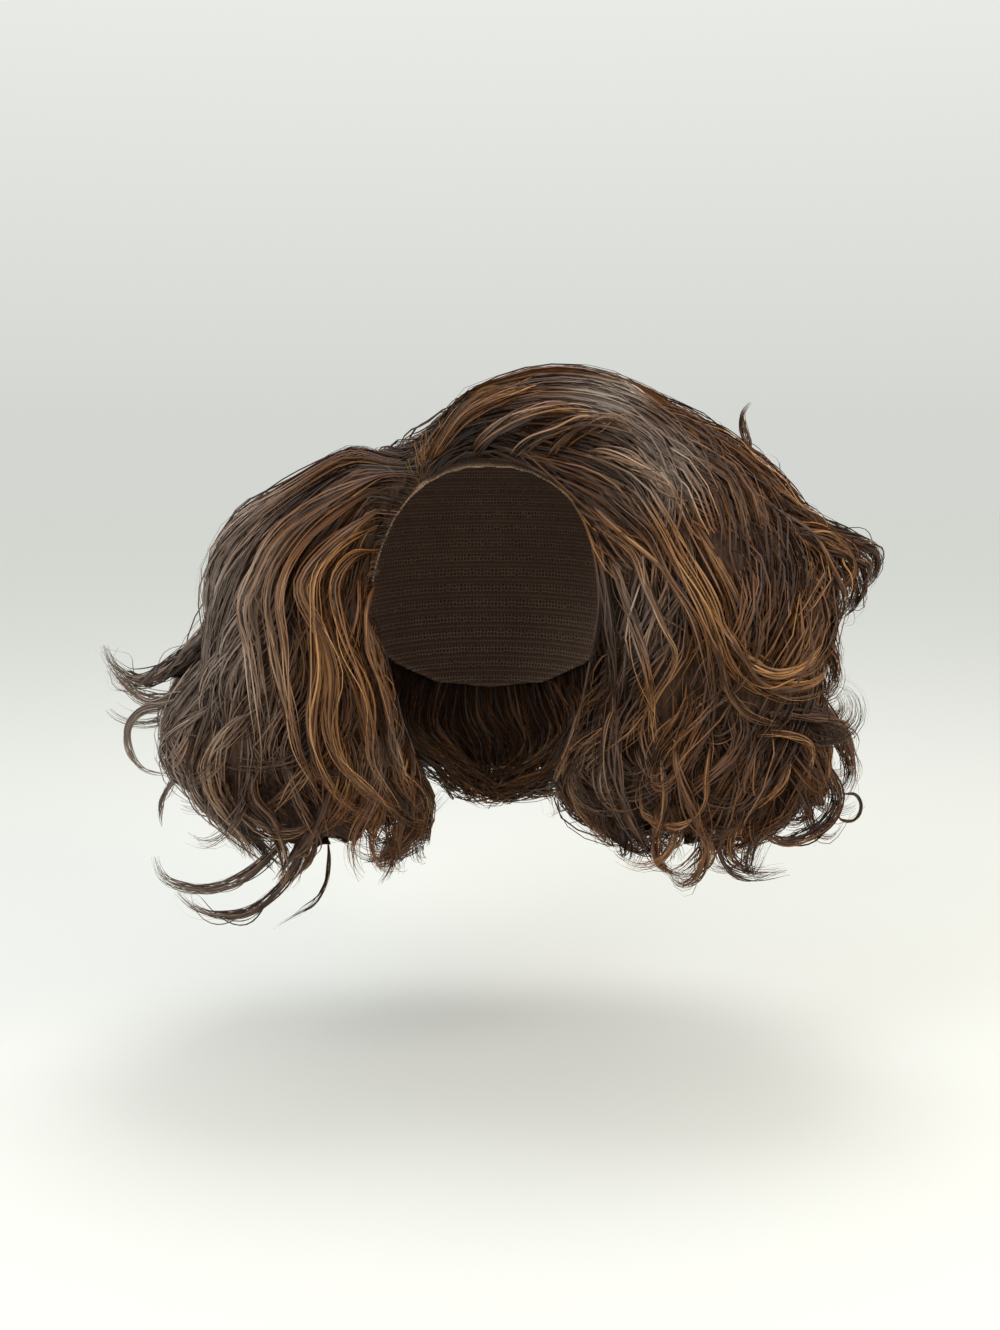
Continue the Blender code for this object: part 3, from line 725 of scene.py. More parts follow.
class Sweep:
    """A mass of hair as sections along a smooth middle line."""

    SAMPLES = 10
    FULLNESS = 2.4

    def __init__(self, sections: Sequence[Section | BackSection], billow: Billow) -> None:
        """Reads the sections and samples them finely.

        Args:
            sections: the rows of one table, from the roots to the tips.
            billow: how the mass swells and narrows along its length.
        """
        self.billow = billow
        rows = np.array(sections)
        zeros = np.zeros(len(rows))
        if isinstance(sections[0], Section):
            outer = np.stack([rows[:, 0], zeros, rows[:, 1]], axis=-1)
            inner = np.stack([rows[:, 2], zeros, rows[:, 3]], axis=-1)
            low = np.stack([zeros, rows[:, 4], zeros], axis=-1)
            high = np.stack([zeros, rows[:, 5], zeros], axis=-1)
            hang = zeros
        else:
            outer = np.stack([zeros, rows[:, 0], rows[:, 1]], axis=-1)
            inner = np.stack([zeros, rows[:, 2], rows[:, 3]], axis=-1)
            low = np.stack([rows[:, 4], zeros, zeros], axis=-1)
            high = np.stack([rows[:, 5], zeros, zeros], axis=-1)
            hang = rows[:, 6] * REACH.down
        outer, inner, low, high = (REACH.place(ends) for ends in (outer, inner, low, high))
        table = np.concatenate(
            [(outer + inner + low + high) / 2, (outer - inner) / 2, (high - low) / 2, hang[:, None]],
            axis=1,
        )
        self.table = self.smoothed(table)
        steps = np.linalg.norm(np.diff(self.table[:, :3], axis=0), axis=1)
        self.run = np.concatenate([[0.0], np.cumsum(steps)])

    @property
    def length(self) -> float:
        """The middle line's length."""
        return float(self.run[-1])

    def smoothed(self, table: Array) -> Array:
        """The table sampled on a smooth curve through its rows.

        Args:
            table: one row for each section.

        Returns:
            The finer table.
        """
        count = len(table)
        places = np.linspace(0, count - 1, (count - 1) * self.SAMPLES + 1)
        index = np.minimum(places.astype(int), count - 2)
        t = (places - index)[:, None]
        return between(*(table[np.clip(index + step, 0, count - 1)] for step in (-1, 0, 1, 2)), t)

    def lane(self, along: Array, angle: Array, reach: Array) -> Array:
        """Points at places in the mass.

        Args:
            along: distances along the middle line.
            angle: angles in the section, 0 outwards and a quarter turn to the back or left.
            reach: 1 on the mass's surface and 0 on its middle line.

        Returns:
            One point for each place.
        """
        along, angle, reach = np.broadcast_arrays(along, angle, reach)
        columns = [np.interp(along, self.run, column) for column in self.table.T]
        middle, outward, sideways = (np.stack(columns[i : i + 3], axis=-1) for i in (0, 3, 6))
        cosine, sine = superellipse(angle, self.FULLNESS)
        spoke = outward * cosine[..., None] + sideways * sine[..., None]
        section = np.interp(along, self.run, np.arange(len(self.run)) / self.SAMPLES)
        swell = 1.0 + (self.billow.swell(section) - 1.0) * np.maximum(cosine, 0.0)
        point = middle + spoke * (reach * swell)[..., None]
        point[..., 2] -= columns[9] * np.maximum(-sine, 0.0) ** 2
        return point

    def even_angles(self, low: float, high: float, places: Array) -> Array:
        """Angles that spread lanes evenly over the mass's surface.

        Args:
            low: the angle at place 0.
            high: the angle at place 1.
            places: places from 0 to 1.

        Returns:
            One angle for each place.
        """
        angles = np.linspace(low, high, 240)
        ring = self.lane(np.full(240, 0.6 * self.length), angles, np.ones(240))
        run = run_along(ring[None])[0]
        return np.interp(places * run[-1], run, angles)


@dataclass
class Wave:
    """The waves along a lock."""

    length: float = 0.090
    depth: float = 0.006
    start: float = 0.25  # the share of the lock where they begin


@dataclass
class Curl:
    """The curl at a lock's end."""

    way: tuple[float, float, float] = (0.0, 0.0, 1.0)
    spread: float = 0.5
    radius: tuple[float, float] = (0.014, 0.024)
    turn: tuple[float, float] = (120.0, 250.0)
    pitch: float = 0.004


@dataclass
class Paths:
    """Locks or strands as rows of points with a frame at each point."""

    points: Array
    normals: Array
    sides: Array
    share: Array  # 0 at the root to 1 at the tip
    tone: Array

    @property
    def count(self) -> int:
        """How many paths there are."""
        return len(self.points)


def frames_along(points: Array, out: Array) -> tuple[Array, Array]:
    """Carries a frame along each path without twisting it.

    Args:
        points: paths of points.
        out: the way out of the hair's surface at each path's root.

    Returns:
        The normals and the sides at every point.
    """
    tangents = unit(np.gradient(points, axis=1))
    normals = np.empty_like(points)
    normal = square_to(out, tangents[:, 0])
    for i in range(points.shape[1]):
        normal = square_to(normal, tangents[:, i])
        normals[:, i] = normal
    return normals, np.cross(tangents, normals)


def run_along(points: Array) -> Array:
    """The distance along each path at each of its points."""
    steps = np.linalg.norm(np.diff(points, axis=1), axis=2)
    return np.concatenate([np.zeros((len(points), 1)), np.cumsum(steps, axis=1)], axis=1)


def evened(points: Array, count: int, finer: int = 6) -> Array:
    """Paths on smooth curves through the given points, at even distances.

    Args:
        points: paths of points.
        count: the number of points that each new path has.
        finer: how many steps each stretch is sampled in.

    Returns:
        The new paths.
    """
    last = points.shape[1] - 1
    places = np.linspace(0, last, last * finer + 1)
    index = np.minimum(places.astype(int), last - 1)
    t = (places - index)[None, :, None]
    fine = between(*(points[:, np.clip(index + step, 0, last)] for step in (-1, 0, 1, 2)), t)
    run = run_along(fine)
    even = np.linspace(0, 1, count)
    return np.stack(
        [
            np.stack([np.interp(even * far[-1], far, axis) for axis in path.T], axis=-1)
            for path, far in zip(fine, run)
        ]
    )


def as_paths(points: Array, tone: Array) -> Paths:
    """Points with their frames and shares worked out.

    Args:
        points: paths of points.
        tone: one tone for each path.

    Returns:
        The paths.
    """
    normals, sides = frames_along(points, HEAD.normals(points[:, 0]))
    run = run_along(points)
    return Paths(points, normals, sides, run / run[:, -1:], tone)


@dataclass
class Growth:
    """How one region's locks grow: their roots, lanes, lengths, waves and curls."""

    name: str
    sweep: Sweep
    locks: int
    angles: tuple[float, float]  # degrees in the section
    reach: tuple[float, float]
    hairline: tuple[float, float] | None  # degrees round the head, for roots on the hairline
    ends: tuple[float, float]  # shares of the sweep's length
    wave: Wave
    curl: Curl
    tone: float
    tone_spread: float = 0.15
    starts: tuple[float, float] = (0.0, 0.02)
    width: float = 0.0105
    strands: int = 30
    stray: float = 0.0022
    lift: float = 1.1
    seed: int = 1

    CLEARANCE = 0.0035
    ROOT_POINTS = 5
    LANE_POINTS = 14
    BODY_POINTS = 24
    CURL_POINTS = 9

    def locks_paths(self) -> Paths:
        """The middle lines of the region's locks.

        Returns:
            One path for each lock.
        """
        rng = np.random.default_rng(self.seed)
        count = self.locks
        place = (rng.permutation(count) + rng.random(count)) / count
        low, high = np.radians(self.angles)
        angle = self.sweep.even_angles(low, high, place)
        depth = rng.random(count) ** 1.6
        reach = self.reach[1] + (self.reach[0] - self.reach[1]) * depth
        roots, joins = self.roots(rng, place, angle, reach)
        ends = self.sweep.length * rng.uniform(*self.ends, count)
        ends = np.maximum(ends, joins + 0.06)
        share = np.linspace(0, 1, self.LANE_POINTS)[None, :]
        along = joins[:, None] + (ends - joins)[:, None] * share
        drift = rng.uniform(-0.22, 0.22, (count, 1)) * share**1.5
        drift = drift + 0.11 * share * np.sin(2 * math.pi * (1.3 * share + rng.random((count, 1))))
        lane = self.sweep.lane(along, angle[:, None] + drift, reach[:, None])
        body = evened(np.concatenate([self.rise(roots, lane), lane], axis=1), self.BODY_POINTS)
        body = self.waved(rng, HEAD.clear(body, self.CLEARANCE), angle)
        points = HEAD.clear(np.concatenate([body, self.curled(rng, body)], axis=1), self.CLEARANCE)
        # Locks that lie deeper in the mass get a darker tone: painted shade
        tone = self.tone + self.tone_spread * rng.standard_normal(count) - 0.10 * depth
        return as_paths(points, tone)

    def rise(self, roots: Array, lane: Array) -> Array:
        """Curves from the roots to the start of the lanes.

        Args:
            roots: one root for each lock.
            lane: each lock's points in the sweep.

        Returns:
            The points between the two.
        """
        first = lane[:, 0]
        gap = np.linalg.norm(first - roots, axis=1)[:, None]
        first_way = unit(lane[:, 1] - lane[:, 0])
        t = np.linspace(0, 1, self.ROOT_POINTS, endpoint=False)[None, :, None]
        return (
            (2 * t**3 - 3 * t**2 + 1) * roots[:, None]
            + (t**3 - 2 * t**2 + t) * (self.root_way(roots, lane) * gap * self.lift)[:, None]
            + (-2 * t**3 + 3 * t**2) * first[:, None]
            + (t**3 - t**2) * (first_way * gap * 1.1)[:, None]
        )

    def roots(
        self, rng: np.random.Generator, place: Array, angle: Array, reach: Array
    ) -> tuple[Array, Array]:
        """Where the locks grow from, and how far along the sweep they join their lanes.

        Args:
            rng: the region's random numbers.
            place: each lock's place across the region, 0 to 1.
            angle: each lock's angle in the section.
            reach: each lock's reach.

        Returns:
            The roots, and the distances along the sweep.
        """
        count = len(place)
        if self.hairline is None:
            starts = self.sweep.length * rng.uniform(*self.starts, count)
            seat = self.sweep.lane(starts, angle, reach)
            roots = HEAD.onto_scalp(seat, 0.002)
            return roots, starts + 0.030 + 0.9 * np.linalg.norm(seat - roots, axis=1)
        low, high = self.hairline
        round_deg = low + (high - low) * np.clip(place + rng.normal(0, 0.015, count), 0, 1)
        back = 2.4 + 5.0 * rng.random(count) ** 2
        roots = HEAD.scalp(round_deg, HEAD.rim(round_deg) - back, 0.0015)
        trial = np.linspace(0.0, self.sweep.length * 0.6, 60)[None, :]
        lanes = self.sweep.lane(trial, angle[:, None], reach[:, None])
        nearest = np.linalg.norm(lanes - roots[:, None], axis=2).argmin(axis=1)
        near = np.take_along_axis(lanes, nearest[:, None, None], axis=1)[:, 0]
        return roots, trial[0, nearest] + 0.034 + 0.75 * np.linalg.norm(near - roots, axis=1)

    def root_way(self, roots: Array, lane: Array) -> Array:
        """The way that locks leave the scalp: out of it, away from the face, and towards their lanes.

        Args:
            roots: one root for each lock.
            lane: each lock's points in the sweep.

        Returns:
            One way for each lock, at length one.
        """
        out = HEAD.normals(roots)
        away = roots + np.array([0.0, 0.0, HEAD.face_widest])
        away[:, 1] = 0.0
        return unit(0.60 * out + 0.75 * unit(away) + 0.5 * unit(lane[:, 0] - roots))

    def waved(self, rng: np.random.Generator, body: Array, angle: Array) -> Array:
        """The locks with waves, which nearly agree between neighbours.

        Args:
            rng: the random numbers to draw from.
            body: each lock's points.
            angle: each lock's angle in the section.

        Returns:
            The waved points.
        """
        count = len(body)
        normals, sides = frames_along(body, HEAD.normals(body[:, 0]))
        run = run_along(body)
        grown = smooth_step((run / run[:, -1:] - self.wave.start) / 0.35)
        length = self.wave.length * rng.uniform(0.88, 1.12, (count, 1))
        phase = 2 * math.pi * run / length + 1.8 * angle[:, None] + rng.normal(0, 0.5, (count, 1))
        depth = self.wave.depth * rng.uniform(0.6, 1.4, (count, 1)) * grown
        return (
            body
            + sides * (depth * np.sin(phase))[..., None]
            + normals * (0.7 * depth * (np.cos(phase) - 0.55))[..., None]
        )

    def curled(self, rng: np.random.Generator, body: Array) -> Array:
        """The curls that go on from the locks' ends.

        Args:
            rng: the random numbers to draw from.
            body: each lock's points up to its curl.

        Returns:
            The curls' points.
        """
        count, curl = len(body), self.curl
        way = unit(body[:, -1] - body[:, -2])
        lean = np.array(curl.way) + curl.spread * rng.standard_normal((count, 3))
        bend = square_to(lean, way)
        axis = np.cross(way, bend)
        turn = np.radians(rng.uniform(*curl.turn, count))[:, None]
        radius = rng.uniform(*curl.radius, count)[:, None]
        share = (np.arange(self.CURL_POINTS)[None, :] + 0.5) / self.CURL_POINTS
        heading = (turn * share**0.9)[..., None]
        step = (turn * radius * (1.25 - 0.75 * share) / self.CURL_POINTS)[..., None]
        moves = step * (np.cos(heading) * way[:, None] + np.sin(heading) * bend[:, None])
        drift = curl.pitch * rng.uniform(-1, 1, (count, 1, 1)) * turn[..., None] / self.CURL_POINTS
        return body[:, -1:] + np.cumsum(moves + drift * axis[:, None], axis=1)


@dataclass
class Room:
    """The room that hair may take: the solids' box and a little more."""

    low: Array
    high: Array
    ease: float = 0.012
    hem_x: tuple[float, ...] = (-148, -129, -100, -77, -55, -28, 36, 44, 64, 83, 102, 129, 157, 181, 196)
    hem_z: tuple[float, ...] = (
        -206, -229, -244, -240, -232, -216, -190, -206, -219, -234, -242, -236, -233, -222, -198
    )

    def hemmed(self, points: Array) -> Array:
        """The points, drawn up smoothly where they hang below the hair's hem in front.

        Args:
            points: any points.

        Returns:
            The moved points, in the same shape.
        """
        hem = np.interp(points[..., 0] * MM, self.hem_x, self.hem_z) / MM
        in_front = smooth_step((0.030 - points[..., 1]) / 0.040)
        under = np.maximum(hem + 0.008 - points[..., 2], 0.0) * in_front
        moved = points.copy()
        moved[..., 2] += under - self.ease * np.tanh(under / self.ease)
        return moved

    def kept(self, points: Array) -> Array:
        """The points, drawn in smoothly where they would leave the room.

        Args:
            points: any points.

        Returns:
            The moved points, in the same shape.
        """
        over = np.maximum(points - (self.high - self.ease), 0.0)
        under = np.maximum(self.low + self.ease - points, 0.0)
        return (
            points - over + self.ease * np.tanh(over / self.ease)
            + under - self.ease * np.tanh(under / self.ease)
        )


@dataclass
class Strands:
    """Fine strands in each lock, which spread in its body and gather at its tip."""

    per_lock: int
    root: float = 0.95
    width: tuple[float, float] = (0.00022, 0.00056)
    stray: float = 0.0016
    flyaways: float = 0.05
    shortest: float = 0.72
    roll: float = 0.55
    tone_spread: float = 0.14
    hem: bool = True
    seed: int = 7

    def in_locks(
        self, locks: Paths, room: Room, width: float | Array, counts: Array | None = None
    ) -> tuple[Paths, Array]:
        """The strands of some locks.

        Args:
            locks: the locks' middle lines.
            room: the room that they may take.
            width: half of a lock's width at its fullest.
            counts: the number of strands in each lock, if not the same for all.

        Returns:
            The strands, and half of the width at each of their points.
        """
        rng = np.random.default_rng(self.seed)
        counts = np.full(locks.count, self.per_lock) if counts is None else counts
        owner = np.repeat(np.arange(locks.count), counts)
        count = len(owner)
        full = np.broadcast_to(width, locks.count) * rng.uniform(0.7, 1.35, locks.count)
        share = locks.share[owner]
        full = full[owner][:, None] * lock_profile(share, self.root)
        place = rng.uniform(0, 2 * math.pi, (count, 1)) + rng.normal(0, 0.8, (count, 1)) * share
        spread = np.sqrt(rng.uniform(0.15, 1.1, (count, 1)))
        loose = np.where(rng.random((count, 1)) < self.flyaways, 3.2, 1.0)
        slim = np.minimum(np.broadcast_to(width, locks.count)[owner][:, None] / 0.006, 1.0)
        stray = self.stray * loose * slim * rng.uniform(0.3, 1.5, (count, 1)) * share**0.7
        phase = rng.uniform(0, 2 * math.pi, (count, 1))
        phase = phase + 2 * math.pi * share * rng.uniform(0.7, 2.7, (count, 1))
        across = full * spread * np.cos(place) + stray * np.sin(phase)
        high = 0.55 * full * (spread * np.sin(place) - 0.40) + stray * np.cos(phase * 1.3)
        normals, sides = locks.normals[owner], locks.sides[owner]
        points = locks.points[owner] + sides * across[..., None] + normals * high[..., None]
        points, outward = self.shortened(rng, points, normals, sides, place)
        points = PARTING.pressed(points)
        points = room.kept(HEAD.clear(room.hemmed(points) if self.hem else points, 0.0020))
        tangents = unit(np.gradient(points, axis=1))
        flat = np.cross(tangents, square_to(outward, tangents))
        tone = locks.tone[owner] + rng.normal(0, self.tone_spread, count)
        thick = rng.uniform(*self.width, (count, 1)) * strand_profile(np.linspace(0, 1, points.shape[1]))
        return Paths(points, outward, flat, share, tone), thick

    def shortened(
        self, rng: np.random.Generator, points: Array, normals: Array, sides: Array, place: Array
    ) -> tuple[Array, Array]:
        """Cuts each strand at its own length, and gives the way that it faces.

        Args:
            rng: the random numbers to draw from.
            points: each strand's points.
            normals: its locks' normals.
            sides: its locks' sides.
            place: where round the lock it lies, in radians.

        Returns:
            The new points, and the way that each strand faces.
        """
        count, length = points.shape[:2]
        end = 1.0 - (1.0 - self.shortest) * rng.random((count, 1)) ** 2
        at = np.linspace(0, 1, length)[None, :] * end * (length - 1)
        index = np.minimum(at.astype(int), length - 2)[..., None]
        part = at[..., None] - index
        near, after = (np.take_along_axis(points, index + step, axis=1) for step in (0, 1))
        turn = place + rng.normal(0, self.roll, (count, 1))
        outward = sides * np.cos(turn)[..., None] + normals * np.sin(turn)[..., None]
        return near + (after - near) * part, outward


def lock_profile(share: Array, root: float) -> Array:
    """A lock's width along its length, as a share of its fullest, from so much at the root."""
    rise = root + (1.0 - root) * smooth_step(share / 0.22)
    return rise * (1.0 - 0.78 * smooth_step((share - 0.50) / 0.50))


def strand_profile(share: Array) -> Array:
    """A strand's thickness along its length, as a share of its fullest."""
    return (0.45 + 0.55 * smooth_step(share / 0.15)) * (1.0 - 0.85 * smooth_step((share - 0.70) / 0.30))


def ribbon_mesh(name: str, paths: Paths, half: Array) -> bpy.types.Mesh:
    """A thin ribbon along each path, in one mesh with its maps.

    Args:
        name: the mesh's name.
        paths: the ribbons' middle lines.
        half: half of the width at each point.

    Returns:
        The mesh. Its map "tone" holds each ribbon's tone and the share along it, its map "fibre" the
        way across and the share along, and its map OFBake a strip for each ribbon.
    """
    count, length = half.shape
    edge = paths.sides * half[..., None]
    points = np.stack([paths.points - edge, paths.points + edge], axis=2)
    ribbon, row = np.meshgrid(np.arange(count), np.arange(length - 1), indexing="ij")
    first = ((ribbon * length + row) * 2).reshape(-1, 1)
    corners = first + np.array([0, 1, 3, 2])
    mesh = bpy.data.meshes.new(name)
    mesh.vertices.add(points.size // 3)
    mesh.vertices.foreach_set("co", points.astype(np.float32).ravel())
    mesh.loops.add(corners.size)
    mesh.loops.foreach_set("vertex_index", corners.astype(np.int32).ravel())
    mesh.polygons.add(len(corners))
    mesh.polygons.foreach_set("loop_start", np.arange(len(corners), dtype=np.int32) * 4)
    mesh.update(calc_edges=True)
    mesh.shade_smooth()
    owner = np.repeat(ribbon.reshape(-1), 4)
    rows = (row.reshape(-1, 1) + np.array([0, 0, 1, 1])).reshape(-1) / (length - 1)
    across = np.tile([0.0, 1.0, 1.0, 0.0], len(corners))
    columns = math.ceil(math.sqrt(count))
    maps = {
        "OFBake": (
            (owner % columns + 0.15 + 0.70 * across) / columns,
            (owner // columns + 0.06 + 0.88 * rows) / columns,
        ),
        "tone": (np.clip(paths.tone, 0.0, 1.0)[owner], rows),
        "fibre": (across + owner * 0.6180339 % 1.0 * 40.0, rows),
    }
    for title, (u, v) in maps.items():
        layer = mesh.uv_layers.new(name=title)
        layer.data.foreach_set("uv", np.stack([u, v], axis=-1).astype(np.float32).ravel())
    return mesh


@dataclass(frozen=True)
class UnderLayer:
    """A solid's surface drawn in, to lie in the shade below the strands."""

    depth: float = 0.007
    most: float = 0.40  # of the solid's thickness
    thin: float = 0.010  # a part counts as thin below this
    thin_run: float = 0.020
    least: float = 0.02
    beside_head: float = 1.3  # the head's surface is at 1
    rise: float = 0.016
    rise_from: float = -0.190
    rise_run: float = 0.060
    weld: float = 0.00002
    nudge: float = 0.0002
    island_size: int = 40  # vertices

    def island(self, start: bmesh.types.BMVert) -> set[bmesh.types.BMVert]:
        """The vertices that hang together with one vertex.

        Args:
            start: the vertex.

        Returns:
            All of them, or as many as a piece worth keeping has.
        """
        found, waiting = {start}, [start]
        while waiting and len(found) < self.island_size:
            for face in waiting.pop().link_faces:
                for vert in face.verts:
                    if vert not in found:
                        found.add(vert)
                        waiting.append(vert)
        return found

    def is_thin(self, vert: bmesh.types.BMVert, room: float) -> bool:
        """Whether a vertex lies on a thin lobe, away from the head."""
        stout = float(smooth_step(np.array((room - self.thin) / self.thin_run)))
        return stout < self.least and HEAD.level(np.array(vert.co)) > self.beside_head

    def drawn_in(self, body: bmesh.types.BMesh) -> list[bmesh.types.BMVert]:
        """Draws a surface in, by less where it is thin, and up at the tips.

        Args:
            body: the surface.

        Returns:
            The vertices of its thin lobes.
        """
        tree = BVHTree.FromBMesh(body)
        hits = [tree.ray_cast(vert.co - vert.normal * self.nudge, -vert.normal)[3] for vert in body.verts]
        rooms = [0.0 if hit is None else hit for hit in hits]
        moves = [vert.normal * min(self.depth, self.most * room) for vert, room in zip(body.verts, rooms)]
        thin = [vert for vert, room in zip(body.verts, rooms) if self.is_thin(vert, room)]
        for vert, move in zip(body.verts, moves):
            vert.co -= move
            share = np.array((self.rise_from - vert.co.z) / self.rise_run)
            vert.co.z += self.rise * float(smooth_step(share))
            vert.co.z -= float(PARTING.dip(np.array(vert.co)))
        return thin

    def mesh(self, name: str, solid: bpy.types.Object) -> bpy.types.Mesh:
        """The layer of one solid, which stays as it is.

        Args:
            name: the new mesh's name.
            solid: the solid.

        Returns:
            The new mesh.
        """
        body = bmesh.new()
        body.from_mesh(solid.data)
        body.transform(solid.matrix_world)
        bmesh.ops.remove_doubles(body, verts=body.verts, dist=self.weld)
        body.normal_update()
        bmesh.ops.delete(body, geom=self.drawn_in(body), context="VERTS")
        bmesh.ops.delete(body, geom=[edge for edge in body.edges if edge.is_wire], context="EDGES")
        scraps = [vert for vert in body.verts if len(self.island(vert)) < self.island_size]
        bmesh.ops.delete(body, geom=scraps, context="VERTS")
        bmesh.ops.holes_fill(body, edges=[edge for edge in body.edges if edge.is_boundary], sides=0)
        mesh = bpy.data.meshes.new(name)
        body.to_mesh(mesh)
        body.free()
        mesh.materials.clear()
        mesh.shade_smooth()
        return mesh


def add_piece(name: str, mesh: bpy.types.Mesh, material: bpy.types.Material) -> bpy.types.Object:
    """An object for a mesh, which rides on the wig.

    Args:
        name: the piece's name.
        mesh: its mesh.
        material: its finish.

    Returns:
        The new object.
    """
    piece = bpy.data.objects.new(name, mesh)
    bpy.context.scene.collection.objects.link(piece)
    mesh.materials.append(material)
    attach(piece, "root")
    LOG.info("%s: %d faces", name, len(mesh.polygons))
    return piece


class NodeMaker:
    """Adds shader nodes to one material."""

    def __init__(self, name: str) -> None:
        """Starts a material that has a Principled shader only.

        Args:
            name: the material's name.
        """
        self.material = bpy.data.materials.new(name)
        self.material.use_nodes = True
        self.tree = self.material.node_tree
        self.shader = self.tree.nodes["Principled BSDF"]

    def add(self, kind: str, **inputs: object) -> bpy.types.Node:
        """A new node.

        Args:
            kind: the node's type.
            inputs: attributes, or sockets by name with spaces as underscores. A socket is linked.

        Returns:
            The node.
        """
        node = self.tree.nodes.new(kind)
        for title, value in inputs.items():
            if hasattr(node, title):
                setattr(node, title, value)
                continue
            self.feed(node.inputs[title.replace("_", " ")], value)
        return node

    def feed(self, socket: bpy.types.NodeSocket, value: object) -> None:
        """Links a socket to another, or sets its value.

        Args:
            socket: the input.
            value: another socket, a colour or a number.
        """
        if isinstance(value, bpy.types.NodeSocket):
            self.tree.links.new(value, socket)
        elif isinstance(value, tuple) and len(value) == 3 and socket.type == "RGBA":
            socket.default_value = (*value, 1.0)
        else:
            socket.default_value = value

    def math(self, operation: str, first: object, second: object = 0.0) -> bpy.types.NodeSocket:
        """The result of a Math node.

        Args:
            operation: what it works out.
            first: a socket or a number.
            second: a socket or a number.

        Returns:
            The node's output.
        """
        node = self.add("ShaderNodeMath", operation=operation)
        self.feed(node.inputs[0], first)
        self.feed(node.inputs[1], second)
        return node.outputs[0]

    def ramp(self, factor: object, stops: Sequence[tuple[float, Sequence[float]]]) -> bpy.types.NodeSocket:
        """A colour ramp's result.

        Args:
            factor: a socket or a number.
            stops: places from 0 to 1, with their colours.

        Returns:
            The colour.
        """
        node = self.add("ShaderNodeValToRGB")
        elements = node.color_ramp.elements
        while len(elements) < len(stops):
            elements.new(0.5)
        for element, (place, colour) in zip(elements, stops):
            element.position = place
            element.color = (*colour, 1.0)
        self.feed(node.inputs[0], factor)
        return node.outputs[0]

    def mix(self, factor: object, first: object, second: object, blend: str = "MIX") -> bpy.types.NodeSocket:
        """The result of mixing two colours.

        Args:
            factor: the second colour's share.
            first: the first colour.
            second: the second colour.
            blend: how they are mixed.

        Returns:
            The colour.
        """
        node = self.add("ShaderNodeMix", data_type="RGBA", blend_type=blend)
        self.feed(node.inputs[0], factor)
        self.feed(node.inputs[6], first)
        self.feed(node.inputs[7], second)
        return node.outputs[2]


class Spot(NamedTuple):
    """A place where the hair is lighter or darker, used for painted shade, painted sheen and golden tone: its
    middle, its size and the change in tone.
    """

    middle: tuple[float, float, float]
    size: float
    change: float


